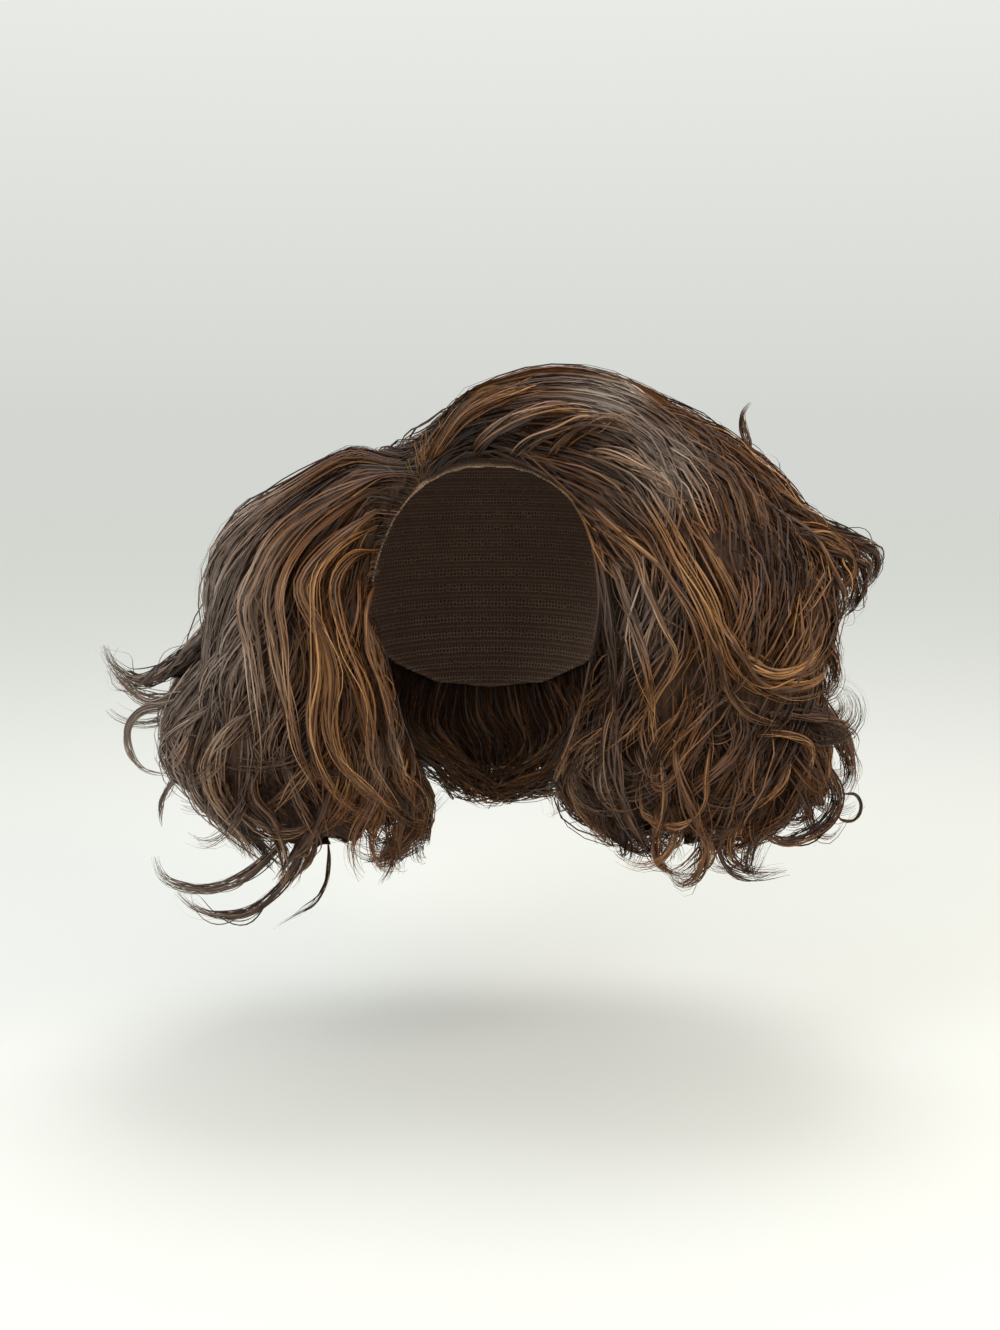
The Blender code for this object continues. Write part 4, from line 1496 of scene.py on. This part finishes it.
@dataclass(frozen=True)
class HairFinish:
    """Wavy brown hair with auburn and golden strands."""

    name: str
    warm: tuple[tuple[float, float, float], ...] = (
        (0.016, 0.0075, 0.0042), (0.056, 0.024, 0.0110), (0.150, 0.060, 0.019), (0.340, 0.168, 0.058)
    )
    # Cool grey-brown colours, for grey-brown strands, painted cool light and painted sheen
    ash_and_sheen_colours: tuple[tuple[float, float, float], ...] = (
        (0.027, 0.018, 0.013), (0.108, 0.075, 0.057), (0.200, 0.147, 0.114), (0.330, 0.262, 0.212)
    )
    stops: tuple[float, ...] = (0.0, 0.34, 0.62, 0.98)
    fibres: float = 3.0
    roughness: float = 0.50
    # Painted sheen: cool grey bands over the left brow, drawn in the cool grey-brown colours
    sheens: tuple[Spot, ...] = (
        Spot((0.062, -0.055, 0.012), 0.034, 1.0),
        Spot((0.082, -0.066, -0.020), 0.040, 1.0),
    )
    # Darker spots, beside the face and at the front hairline, are painted shade; lighter spots are golden
    # tone, partly painted warm light
    spots: tuple[Spot, ...] = (
        Spot((0.139, -0.075, -0.122), 0.050, 0.13),
        Spot((0.148, -0.040, -0.060), 0.048, 0.09),
        Spot((0.092, -0.045, 0.005), 0.034, 0.13),
        Spot((-0.030, -0.070, 0.010), 0.030, 0.08),
        Spot((0.010, -0.085, -0.008), 0.030, -0.12),
        Spot((-0.078, -0.080, -0.059), 0.042, 0.11),
        Spot((-0.138, -0.065, -0.178), 0.034, 0.15),
        Spot((-0.052, -0.075, -0.170), 0.030, -0.10),
        Spot((0.073, -0.080, -0.095), 0.042, -0.17),
        Spot((0.060, -0.070, -0.180), 0.050, -0.10),
    )

    def material(self) -> bpy.types.Material:
        """The finish as a material: colour by strand, streaks along it, painted shade and golden tone in
        spots, and cool grey-brown on one side, partly painted cool light, with painted sheen over the left
        brow.

        Returns:
            The material.
        """
        make = NodeMaker(self.name)
        tone, fibre = (
            make.add("ShaderNodeSeparateXYZ", Vector=make.add("ShaderNodeUVMap", uv_map=title).outputs[0])
            for title in ("tone", "fibre")
        )
        stretched = make.add(
            "ShaderNodeCombineXYZ",
            X=make.math("MULTIPLY", fibre.outputs[0], self.fibres),
            Y=make.math("MULTIPLY", fibre.outputs[1], 4.0),
        )
        grain = make.add("ShaderNodeTexNoise", Vector=stretched.outputs[0], Scale=1.0, Detail=2.0).outputs[0]
        streak = make.math("MULTIPLY", make.math("SUBTRACT", grain, 0.5), 0.60)
        place = make.add("ShaderNodeTexCoord").outputs["Object"]
        patch = make.add("ShaderNodeTexNoise", Vector=place, Scale=19.0, Detail=2.0).outputs[0]
        patchy = make.math("MULTIPLY", make.math("SUBTRACT", patch, 0.5), 0.70)
        tip = make.math("MULTIPLY", make.math("SUBTRACT", tone.outputs[1], 0.45), 0.12)
        level = make.math("ADD", tone.outputs[0], make.math("ADD", streak, patchy))
        level = make.math("ADD", level, tip)
        root = make.add(
            "ShaderNodeMapRange", Value=tone.outputs[1], From_Min=0.0, From_Max=0.16, To_Min=-0.20, To_Max=0.0
        )
        painted_shade_and_golden_tone = self.painted_shade_and_golden_tone(make, place)
        level = make.math("ADD", make.math("ADD", level, root.outputs[0]), painted_shade_and_golden_tone)
        ash_and_sheen_share = self.ash_and_sheen_amount(make, place, patch)
        # Lighter spots take the cool grey-brown away and painted shade spots add to it; the grey-brown share
        # also lifts the tone
        ash_and_sheen_share = make.math("MAXIMUM", make.math("SUBTRACT", ash_and_sheen_share, make.math("MULTIPLY", painted_shade_and_golden_tone, 4.0)), 0.0)
        level = make.math("ADD", level, make.math("MULTIPLY", ash_and_sheen_share, 0.15))
        warm = make.ramp(level, list(zip(self.stops, self.warm)))
        ash_and_sheen_colours = make.ramp(level, list(zip(self.stops, self.ash_and_sheen_colours)))
        colour = make.mix(ash_and_sheen_share, warm, ash_and_sheen_colours)
        make.feed(make.shader.inputs["Base Color"], colour)
        rough = make.math("ADD", make.math("MULTIPLY", grain, 0.20), self.roughness - 0.10)
        make.feed(make.shader.inputs["Roughness"], rough)
        make.shader.inputs["Specular IOR Level"].default_value = 0.30
        return make.material

    def painted_shade_and_golden_tone(self, make: NodeMaker, place: bpy.types.NodeSocket) -> bpy.types.NodeSocket:
        """How much lighter or darker the hair is, from the spots: painted shade where darker, and golden
        tone, partly painted warm light, where lighter.

        Args:
            make: the material's nodes.
            place: the place on the wig.

        Returns:
            The change in tone.
        """
        total: object = 0.0
        for spot in self.spots:
            away = make.add("ShaderNodeVectorMath", operation="DISTANCE")
            make.feed(away.inputs[0], place)
            away.inputs[1].default_value = spot.middle
            share = make.add(
                "ShaderNodeMapRange",
                Value=away.outputs["Value"], From_Min=spot.size, From_Max=0.0, To_Min=0.0, To_Max=spot.change,
            )
            share.interpolation_type = "SMOOTHSTEP"
            total = make.math("ADD", total, share.outputs[0])
        return total

    def ash_and_sheen_amount(
        self, make: NodeMaker, place: bpy.types.NodeSocket, patch: bpy.types.NodeSocket
    ) -> bpy.types.NodeSocket:
        """How far the hair turns to the cool grey-brown colours: at the wearer's right side, partly
        grey-brown strands and partly painted cool light, and in painted sheen bands over the left brow.

        Args:
            make: the material's nodes.
            place: the place on the wig.
            patch: uneven noise.

        Returns:
            The share, from 0.
        """
        split = make.add("ShaderNodeSeparateXYZ", Vector=place)
        # Wearer's right side: cool grey-brown, partly grey-brown strands and partly painted cool light
        ash_and_sheen_share = make.add(
            "ShaderNodeMapRange",
            Value=split.outputs[0], From_Min=-0.085, From_Max=-0.140, To_Min=0.0, To_Max=1.0,
        ).outputs[0]
        # Painted sheen: the hair turns cool grey-brown near each sheen's middle
        for sheen in self.sheens:
            away = make.add("ShaderNodeVectorMath", operation="DISTANCE")
            make.feed(away.inputs[0], place)
            away.inputs[1].default_value = sheen.middle
            share = make.add(
                "ShaderNodeMapRange",
                Value=away.outputs["Value"], From_Min=sheen.size, From_Max=sheen.size * 0.4,
                To_Min=0.0, To_Max=sheen.change,
            )
            ash_and_sheen_share = make.math("MAXIMUM", ash_and_sheen_share, share.outputs[0])
        return make.math("MULTIPLY", ash_and_sheen_share, make.math("ADD", make.math("MULTIPLY", patch, 1.5), 0.12))


@dataclass(frozen=True)
class UnderFinish:
    """The hair that shows between the strands, coloured very dark as painted shade, with streaks down it."""

    dark: tuple[float, float, float] = (0.010, 0.005, 0.003)
    light: tuple[float, float, float] = (0.062, 0.028, 0.013)
    across: float = 420.0
    down: float = 16.0

    def material(self) -> bpy.types.Material:
        """The finish as a material.

        Returns:
            The material.
        """
        make = NodeMaker("hair_under")
        place = make.add("ShaderNodeTexCoord").outputs["Object"]
        stretched = make.add("ShaderNodeMapping", Vector=place)
        stretched.inputs["Scale"].default_value = (self.across, self.across, self.down)
        grain = make.add("ShaderNodeTexNoise", Vector=stretched.outputs[0], Scale=1.0, Detail=4.0).outputs[0]
        make.feed(make.shader.inputs["Base Color"], make.ramp(grain, [(0.35, self.dark), (0.72, self.light)]))
        make.shader.inputs["Roughness"].default_value = 0.75
        make.shader.inputs["Specular IOR Level"].default_value = 0.2
        bump = make.add("ShaderNodeBump", Strength=0.9, Distance=0.0012, Height=grain)
        make.feed(make.shader.inputs["Normal"], bump.outputs[0])
        return make.material


@dataclass(frozen=True)
class NetFinish:
    """A stretched net, with rows of weft stitched across it or with knots where hair is tied in."""

    name: str
    thread: tuple[float, float, float]
    hole: tuple[float, float, float]
    pitch: float
    weft: tuple[float, float, float] = (0.0, 0.0, 0.0)
    weft_pitch: float = 0.0
    knot: tuple[float, float, float] = (0.0, 0.0, 0.0)
    knot_pitch: float = 0.0
    roughness: float = 0.85

    def material(self) -> bpy.types.Material:
        """The net as a material, with raised threads round dark holes.

        Returns:
            The material.
        """
        make = NodeMaker(self.name)
        cloth = make.add("ShaderNodeUVMap", uv_map="cloth").outputs[0]
        cells = make.add(
            "ShaderNodeTexVoronoi", feature="DISTANCE_TO_EDGE", Vector=cloth, Scale=1.0 / self.pitch
        )
        cells.inputs["Randomness"].default_value = 0.35
        height = make.add(
            "ShaderNodeMapRange", Value=cells.outputs[0], From_Min=0.08, From_Max=0.22, To_Min=1.0, To_Max=0.0
        ).outputs[0]
        colour = make.mix(height, self.hole, self.thread)
        if self.weft_pitch:
            colour, height = self.with_weft(make, cloth, colour, height)
        if self.knot_pitch:
            knots = make.add("ShaderNodeTexVoronoi", Vector=cloth, Scale=1.0 / self.knot_pitch)
            knot = make.add(
                "ShaderNodeMapRange",
                Value=knots.outputs[0], From_Min=0.12, From_Max=0.24, To_Min=1.0, To_Max=0.0,
            ).outputs[0]
            colour = make.mix(knot, colour, self.knot)
            height = make.math("MAXIMUM", height, knot)
        wear = make.add("ShaderNodeTexNoise", Vector=cloth, Scale=45.0, Detail=3.0).outputs[0]
        colour = make.mix(make.math("MULTIPLY", wear, 0.45), colour, self.hole)
        make.feed(make.shader.inputs["Base Color"], colour)
        make.shader.inputs["Roughness"].default_value = self.roughness
        bump = make.add("ShaderNodeBump", Strength=0.7, Distance=0.0005, Height=height)
        make.feed(make.shader.inputs["Normal"], bump.outputs[0])
        return make.material

    def with_weft(
        self, make: NodeMaker, cloth: bpy.types.NodeSocket, colour: object, height: object
    ) -> tuple[bpy.types.NodeSocket, bpy.types.NodeSocket]:
        """Rows of hair stitched to tape, over the net.

        Args:
            make: the material's nodes.
            cloth: the map in metres along and down the cloth.
            colour: the net's colour.
            height: the net's height.

        Returns:
            The colour and the height with the rows.
        """
        split = make.add("ShaderNodeSeparateXYZ", Vector=cloth)
        down = make.math("SINE", make.math("MULTIPLY", split.outputs[1], 2 * math.pi / self.weft_pitch))
        band = make.add(
            "ShaderNodeMapRange", Value=down, From_Min=0.05, From_Max=0.35, To_Min=0.0, To_Max=1.0
        ).outputs[0]
        slowed = make.math("MULTIPLY", split.outputs[1], 0.12)
        hairs = make.add("ShaderNodeCombineXYZ", X=split.outputs[0], Y=slowed)
        strand = make.add("ShaderNodeTexNoise", Vector=hairs.outputs[0], Scale=1400.0, Detail=2.0).outputs[0]
        rows = make.mix(strand, self.hole, self.weft)
        colour = make.mix(band, colour, rows)
        seam = make.add(
            "ShaderNodeMapRange", Value=down, From_Min=0.93, From_Max=0.985, To_Min=0.0, To_Max=1.0
        ).outputs[0]
        along = make.math("SINE", make.math("MULTIPLY", split.outputs[0], 2 * math.pi / 0.0018))
        stitch = make.math("MULTIPLY", seam, make.math("GREATER_THAN", along, -0.3))
        colour = make.mix(stitch, colour, self.thread)
        raised = make.math("MAXIMUM", height, make.math("MULTIPLY", band, make.math("ADD", strand, 0.4)))
        return colour, make.math("MAXIMUM", raised, stitch)


@dataclass
class Cap:
    """The net cap and the lace strip, as thin closed cloth with rows and a seam in relief."""

    wall: float = 0.0012
    lace_wall: float = 0.0010
    strip: float = 0.022
    gap: float = 0.0003
    lace_end: float = 70.0
    weft_pitch: float = 0.0085
    weft_relief: float = 0.0005
    seam: float = 0.005
    seam_relief: float = 0.0006

    @property
    def strip_angle(self) -> float:
        """The lace strip's width as an angle on the head."""
        return math.degrees(self.strip / HEAD.half_depth)

    @property
    def gap_angle(self) -> float:
        """The gap between the cap and the lace as an angle."""
        return math.degrees(self.gap / HEAD.half_width) * 1.3

    def build(self) -> None:
        """Makes the cap and the lace."""
        net = NetFinish(
            "cap_net", (0.240, 0.145, 0.095), (0.040, 0.023, 0.015), 0.0021,
            weft=(0.140, 0.070, 0.038), weft_pitch=self.weft_pitch,
        )
        lace = NetFinish(
            "lace", (0.46, 0.30, 0.19), (0.15, 0.085, 0.052), 0.0012,
            knot=(0.035, 0.016, 0.009), knot_pitch=0.0021,
        )
        self.add_cap(net.material())
        self.add_lace(lace.material())

    def add_cap(self, material: bpy.types.Material) -> None:
        """The cap, from the crown to its rim, behind the lace strip.

        Args:
            material: the net.
        """
        end = self.lace_end
        rounds = np.concatenate(
            [np.linspace(-end, end, 49), np.linspace(end + self.gap_angle, 360 - end - self.gap_angle, 72)]
        )
        signed = np.where(rounds > 180, rounds - 360, rounds)
        rim = HEAD.rim(signed) - np.where(np.abs(signed) <= end, self.strip_angle + self.gap_angle, 0.0)
        share = np.linspace(0.012, 1.0, 58)[:, None]
        down = share * rim
        arc = np.radians(down) * HEAD.half_depth
        wave = np.maximum(np.sin(2 * math.pi * arc / self.weft_pitch), 0.0)
        near_rim = smooth_step((arc - arc[-1] + self.seam) / (0.3 * self.seam))
        relief = np.maximum(self.weft_relief * wave, self.seam_relief * near_rim)
        inner = self.sheet(rounds, down, -relief)
        outer = self.sheet(rounds, down, np.full_like(down, self.wall))
        piece = self.add_cloth("cap_cloth", inner, outer, rounds, arc, True, material)
        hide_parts("wig_cap")

    def add_lace(self, material: bpy.types.Material) -> None:
        """The lace strip along the hairline, with a finely notched edge.

        Args:
            material: the lace.
        """
        end = self.lace_end - self.gap_angle
        rounds = np.linspace(-end, end, 241)
        notch = 0.22 * np.sin(rounds * 9.0) * np.sin(rounds * 2.3)
        share = np.linspace(0.0, 1.0, 12)[:, None]
        down = HEAD.rim(rounds) - self.strip_angle * (1 - share) + notch * share**6
        arc = np.radians(down) * HEAD.half_depth
        inner = self.sheet(rounds, down, np.zeros_like(down))
        outer = self.sheet(rounds, down, np.full_like(down, self.lace_wall))
        piece = self.add_cloth("lace_cloth", inner, outer, rounds, arc, False, material)
        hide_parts("lace_front")

    def sheet(self, rounds: Array, down: Array, proud: Array) -> Array:
        """A grid of points on the head, or off it by so much."""
        return HEAD.scalp(*np.broadcast_arrays(rounds[None, :], down), proud)

    def add_cloth(
        self, name: str, inner: Array, outer: Array, rounds: Array, arc: Array, closed: bool,
        material: bpy.types.Material,
    ) -> bpy.types.Object:
        """A closed piece between two grids of points.

        Args:
            name: the piece's name.
            inner: the grid on the head.
            outer: the grid away from it.
            rounds: degrees round the head for each column.
            arc: metres down from the crown for each point.
            closed: whether the last column meets the first.
            material: the finish.

        Returns:
            The new object.
        """
        rows, columns = inner.shape[:2]
        row, column = np.meshgrid(
            np.arange(rows - 1), np.arange(columns if closed else columns - 1), indexing="ij"
        )
        after = (column + 1) % columns
        size = rows * columns
        square = np.stack(
            [
                row * columns + column, (row + 1) * columns + column,
                (row + 1) * columns + after, row * columns + after,
            ],
            axis=-1,
        ).reshape(-1, 4)
        faces = [*(square + size).tolist(), *square[:, ::-1].tolist()]
        for edge in (0, rows - 1):
            for a, b in zip(column[0], after[0]):
                near, far = edge * columns + a, edge * columns + b
                low = [near, far, far + size, near + size]
                faces.append(low if edge else low[::-1])
        if not closed:
            for side in (0, columns - 1):
                for r in range(rows - 1):
                    a, b = r * columns + side, (r + 1) * columns + side
                    faces.append([a, b, b + size, a + size] if side == 0 else [b, a, a + size, b + size])
        mesh = bpy.data.meshes.new(name)
        mesh.from_pydata(np.concatenate([inner.reshape(-1, 3), outer.reshape(-1, 3)]).tolist(), [], faces)
        mesh.shade_smooth()
        index = np.empty(len(mesh.loops), dtype=np.int32)
        mesh.loops.foreach_get("vertex_index", index)
        turns = np.tile(np.broadcast_to(rounds, arc.shape).reshape(-1), 2)[index]
        around = np.radians(turns) * HEAD.half_width
        layer = mesh.uv_layers.new(name="cloth")
        uv = np.stack([around, np.tile(arc.reshape(-1), 2)[index]], axis=-1)
        layer.data.foreach_set("uv", uv.astype(np.float32).ravel())
        return add_piece(name, mesh, material)


@dataclass(frozen=True)
class Hairline:
    """Short fine hairs that rise from the lace along the hairline."""

    count: int = 420
    end: float = 66  # degrees round the head
    parting: float = -43
    back: tuple[float, float] = (0.5, 4.0)  # degrees behind the rim
    proud: float = 0.0012
    clearance: float = 0.0010
    length: tuple[float, float] = (0.009, 0.027)
    half_width: tuple[float, float] = (0.00016, 0.00032)
    tip: float = 0.3  # of the root's width
    tone: tuple[float, float] = (0.50, 0.95)
    points: int = 8
    seed: int = 31

    def hairs(self) -> tuple[Paths, Array]:
        """The hairs, and half of the width at each of their points.

        Returns:
            The hairs, and the widths.
        """
        rng = np.random.default_rng(self.seed)
        count = self.count
        round_deg = rng.uniform(-self.end, self.end, count)
        roots = HEAD.scalp(round_deg, HEAD.rim(round_deg) - rng.uniform(*self.back, count), self.proud)
        out = HEAD.normals(roots)
        away = roots + np.array([0.0, 0.0, HEAD.face_widest])
        away[:, 1] = 0.0
        to_side = np.where(round_deg > self.parting, 1.0, -1.0)[:, None] * np.array([1.0, 0.0, 0.0])
        start = unit(1.2 * out + unit(away) + 0.2 * rng.standard_normal((count, 3)))
        turned = unit(0.5 * out + 0.9 * unit(away) + 0.7 * to_side + 0.35 * rng.standard_normal((count, 3)))
        length = rng.uniform(*self.length, (count, 1, 1))
        t = np.linspace(0, 1, self.points)[None, :, None]
        points = roots[:, None] + length * (t * start[:, None] + 0.5 * t**2 * (turned - start)[:, None])
        hairs = as_paths(HEAD.clear(points, self.clearance), rng.uniform(*self.tone, count))
        return hairs, rng.uniform(*self.half_width, (count, 1)) * np.linspace(1.0, self.tip, self.points)


@dataclass
class Hair:
    """All of the hair: under-hair painted dark as shade, locks of strands, placed locks and hairline hairs.
    """

    nodes: Mapping[str, bpy.types.Object]
    room: Room
    left: Sweep = field(default_factory=lambda: Sweep(LEFT_SECTIONS, Billow(0.075, 8.2, 12.0)))
    right: Sweep = field(default_factory=lambda: Sweep(RIGHT_SECTIONS, Billow(0.070, 4.5, 8.5)))
    back: Sweep = field(default_factory=lambda: Sweep(BACK_SECTIONS, Billow(0.040, 4.0, 7.5)))

    GUIDE_POINTS = 32
    GUIDE_CLEARANCE = 0.003

    def regions(self) -> list[Growth]:
        """The regions of growth, each with its own lanes and curls.

        Returns:
            One growth for each region.
        """
        ringlets = Curl(way=(-0.25, -0.35, 0.3), spread=0.60, radius=(0.010, 0.018), turn=(110, 280))
        ends = Curl(way=(0.25, -0.25, 0.3), spread=0.50, radius=(0.018, 0.034), turn=(30, 130))
        under = Curl(way=(0.0, 0.4, 0.5), spread=0.6, radius=(0.014, 0.026), turn=(60, 220))
        soft = Wave(length=0.098, depth=0.0065)
        deep = Wave(length=0.090, depth=0.0090, start=0.24)
        slight = Wave(length=0.110, depth=0.0040)
        return [
            Growth(
                "crown_front", self.left, 118, (-62, -186), (0.80, 0.95), (-43, 78), (0.66, 0.95), deep,
                ringlets, 0.38, strands=26, stray=0.0028, lift=1.8, seed=11,
            ),
            Growth(
                "crown_top", self.left, 94, (66, -66), (0.85, 0.97), None, (0.70, 0.96), deep, ringlets,
                0.40, strands=28, seed=12,
            ),
            Growth(
                "right_front", self.right, 106, (-60, -188), (0.80, 0.95), (-45, -80), (0.60, 0.89), soft,
                ends, 0.40, strands=25, lift=1.7, seed=13,
            ),
            Growth(
                "right_top", self.right, 76, (66, -64), (0.85, 0.97), None, (0.64, 0.93), soft, ends,
                0.44, strands=25, seed=14,
            ),
            Growth(
                "back", self.back, 96, (-95, 95), (0.86, 1.0), None, (0.72, 0.95), soft, under,
                0.38, strands=20, seed=15,
            ),
            Growth(
                "nape", self.back, 30, (163, 197), (0.84, 0.98), (122, 238), (0.74, 0.92), slight, under,
                0.34, strands=14, seed=16,
            ),
        ]

    def build(self) -> None:
        """Makes every hair piece."""
        self.finish = HairFinish("hair_strands").material()
        self.build_under()
        for region in self.regions():
            locks = region.locks_paths()
            maker = Strands(region.strands, stray=region.stray, seed=region.seed + 50)
            self.add_ribbons(f"{region.name}_strands", *maker.in_locks(locks, self.room, region.width))
        self.build_guides()
        self.add_ribbons("hairline_hairs", *Hairline().hairs())

    def add_ribbons(self, name: str, paths: Paths, half: Array) -> None:
        """A hair piece made of ribbons."""
        add_piece(name, ribbon_mesh(name, paths, half), self.finish)

    def build_under(self) -> None:
        """The hair below the strands, painted dark as shade, in the place of each plain solid."""
        finish, layer = UnderFinish().material(), UnderLayer()
        for node in ("hair_crown", "hair_right", "hair_left", "hair_back"):
            name = node.replace("hair", "under")
            piece = add_piece(name, layer.mesh(name, self.nodes[node]), finish)
            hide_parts(node)

    def build_guides(self) -> None:
        """The locks placed one by one."""
        guides = list(GUIDES.values())
        points = np.concatenate(
            [evened(np.array([guide.places()], dtype=float) / MM, self.GUIDE_POINTS) for guide in guides]
        )
        locks = as_paths(HEAD.clear(points, self.GUIDE_CLEARANCE), np.array([guide.tone for guide in guides]))
        width = np.array([guide.width for guide in guides]) / MM
        counts = np.array([guide.strands for guide in guides])
        maker = Strands(
            0, root=0.20, stray=0.0018, flyaways=0.08, shortest=0.76, tone_spread=0.22, hem=False, seed=90
        )
        self.add_ribbons("placed_locks", *maker.in_locks(locks, self.room, width, counts))


@dataclass
class Studio:
    """The floor, the lights and the camera."""

    distance: float = 0.95
    elevation: float = 8.0
    target: tuple[float, float, float] = (0.0055, 0.0, -0.132)
    lens: float = 46.75
    floor_drop: float = 0.36
    horizon: tuple[float, float, float] = (0.657, 0.672, 0.637)
    sky: tuple[float, float, float] = (0.98, 0.99, 0.97)

    def build(self) -> None:
        """Makes them all."""
        self.add_floor()
        self.add_camera()
        self.add_light("key", (-0.9, -1.2, 0.8), 0.7, 12.0, (0.90, 0.95, 1.0))
        self.add_light("warm_side", (1.2, -0.9, 0.5), 0.6, 11.0, (1.0, 0.86, 0.68))
        self.add_light("top", (0.1, 0.2, 1.2), 0.6, 7.0, (1.0, 1.0, 1.0))
        world = bpy.data.worlds.new("studio")
        bpy.context.scene.world = world
        world.use_nodes = True
        tree = world.node_tree
        place = tree.nodes.new("ShaderNodeTexCoord")
        split = tree.nodes.new("ShaderNodeSeparateXYZ")
        ramp = tree.nodes.new("ShaderNodeValToRGB")
        tree.links.new(place.outputs["Generated"], split.inputs[0])
        tree.links.new(split.outputs[2], ramp.inputs[0])
        tree.links.new(ramp.outputs[0], tree.nodes["Background"].inputs[0])
        ramp.color_ramp.elements[0].color = (*self.horizon, 1.0)
        ramp.color_ramp.elements[1].color = (*self.sky, 1.0)
        ramp.color_ramp.elements[1].position = 0.45
        bpy.context.scene.view_settings.view_transform = "Standard"

    def add_floor(self) -> None:
        """A plain pale floor below the wig."""
        mesh = bpy.data.meshes.new("floor")
        size, height = 6.0, -self.floor_drop
        corners = [(-size, -size, height), (size, -size, height), (size, size, height), (-size, size, height)]
        mesh.from_pydata(corners, [], [(0, 1, 2, 3)])
        floor = bpy.data.objects.new("floor", mesh)
        bpy.context.scene.collection.objects.link(floor)
        make = NodeMaker("pale_floor")
        make.shader.inputs["Base Color"].default_value = (0.66, 0.67, 0.64, 1.0)
        make.shader.inputs["Roughness"].default_value = 0.9
        mesh.materials.append(make.material)
        floor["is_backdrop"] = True

    def add_camera(self) -> None:
        """A camera at the photograph's angle."""
        data = bpy.data.cameras.new("camera")
        camera = bpy.data.objects.new("camera", data)
        bpy.context.scene.collection.objects.link(camera)
        data.lens, data.sensor_width = self.lens, 36.0
        tilt = math.radians(self.elevation)
        away = Vector((0.0, -math.cos(tilt), math.sin(tilt)))
        camera.location = Vector(self.target) + away * self.distance
        camera.rotation_euler = (math.pi / 2 - tilt, 0.0, 0.0)
        bpy.context.scene.camera = camera

    def add_light(
        self, name: str, place: tuple[float, float, float], size: float, power: float,
        colour: tuple[float, float, float],
    ) -> None:
        """A soft square light that faces the wig.

        Args:
            name: the light's name.
            place: where it stands.
            size: the length of its side.
            power: its power in watts.
            colour: its colour.
        """
        data = bpy.data.lights.new(name, "AREA")
        data.size, data.energy, data.color = size, power, colour
        light = bpy.data.objects.new(name, data)
        bpy.context.scene.collection.objects.link(light)
        light.location = place
        aim = Vector(self.target) - Vector(place)
        light.rotation_euler = aim.to_track_quat("-Z", "Y").to_euler()


def plain_box(box: Sequence[Sequence[float]]) -> list[list[float]]:
    """A box as plain lists of numbers."""
    return [[float(number) for number in corner] for corner in box]


def main() -> None:
    """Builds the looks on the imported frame."""
    logging.basicConfig(level=logging.INFO, format="%(name)s %(message)s")
    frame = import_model()
    cad_box = plain_box(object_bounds())
    low, high = np.array(cad_box)
    spare = 0.025 * (high - low) + 0.009
    Studio().build()
    Cap().build()
    Hair(frame["nodes"], Room(low - spare, high + spare)).build()


if __name__ == "__main__":
    main()
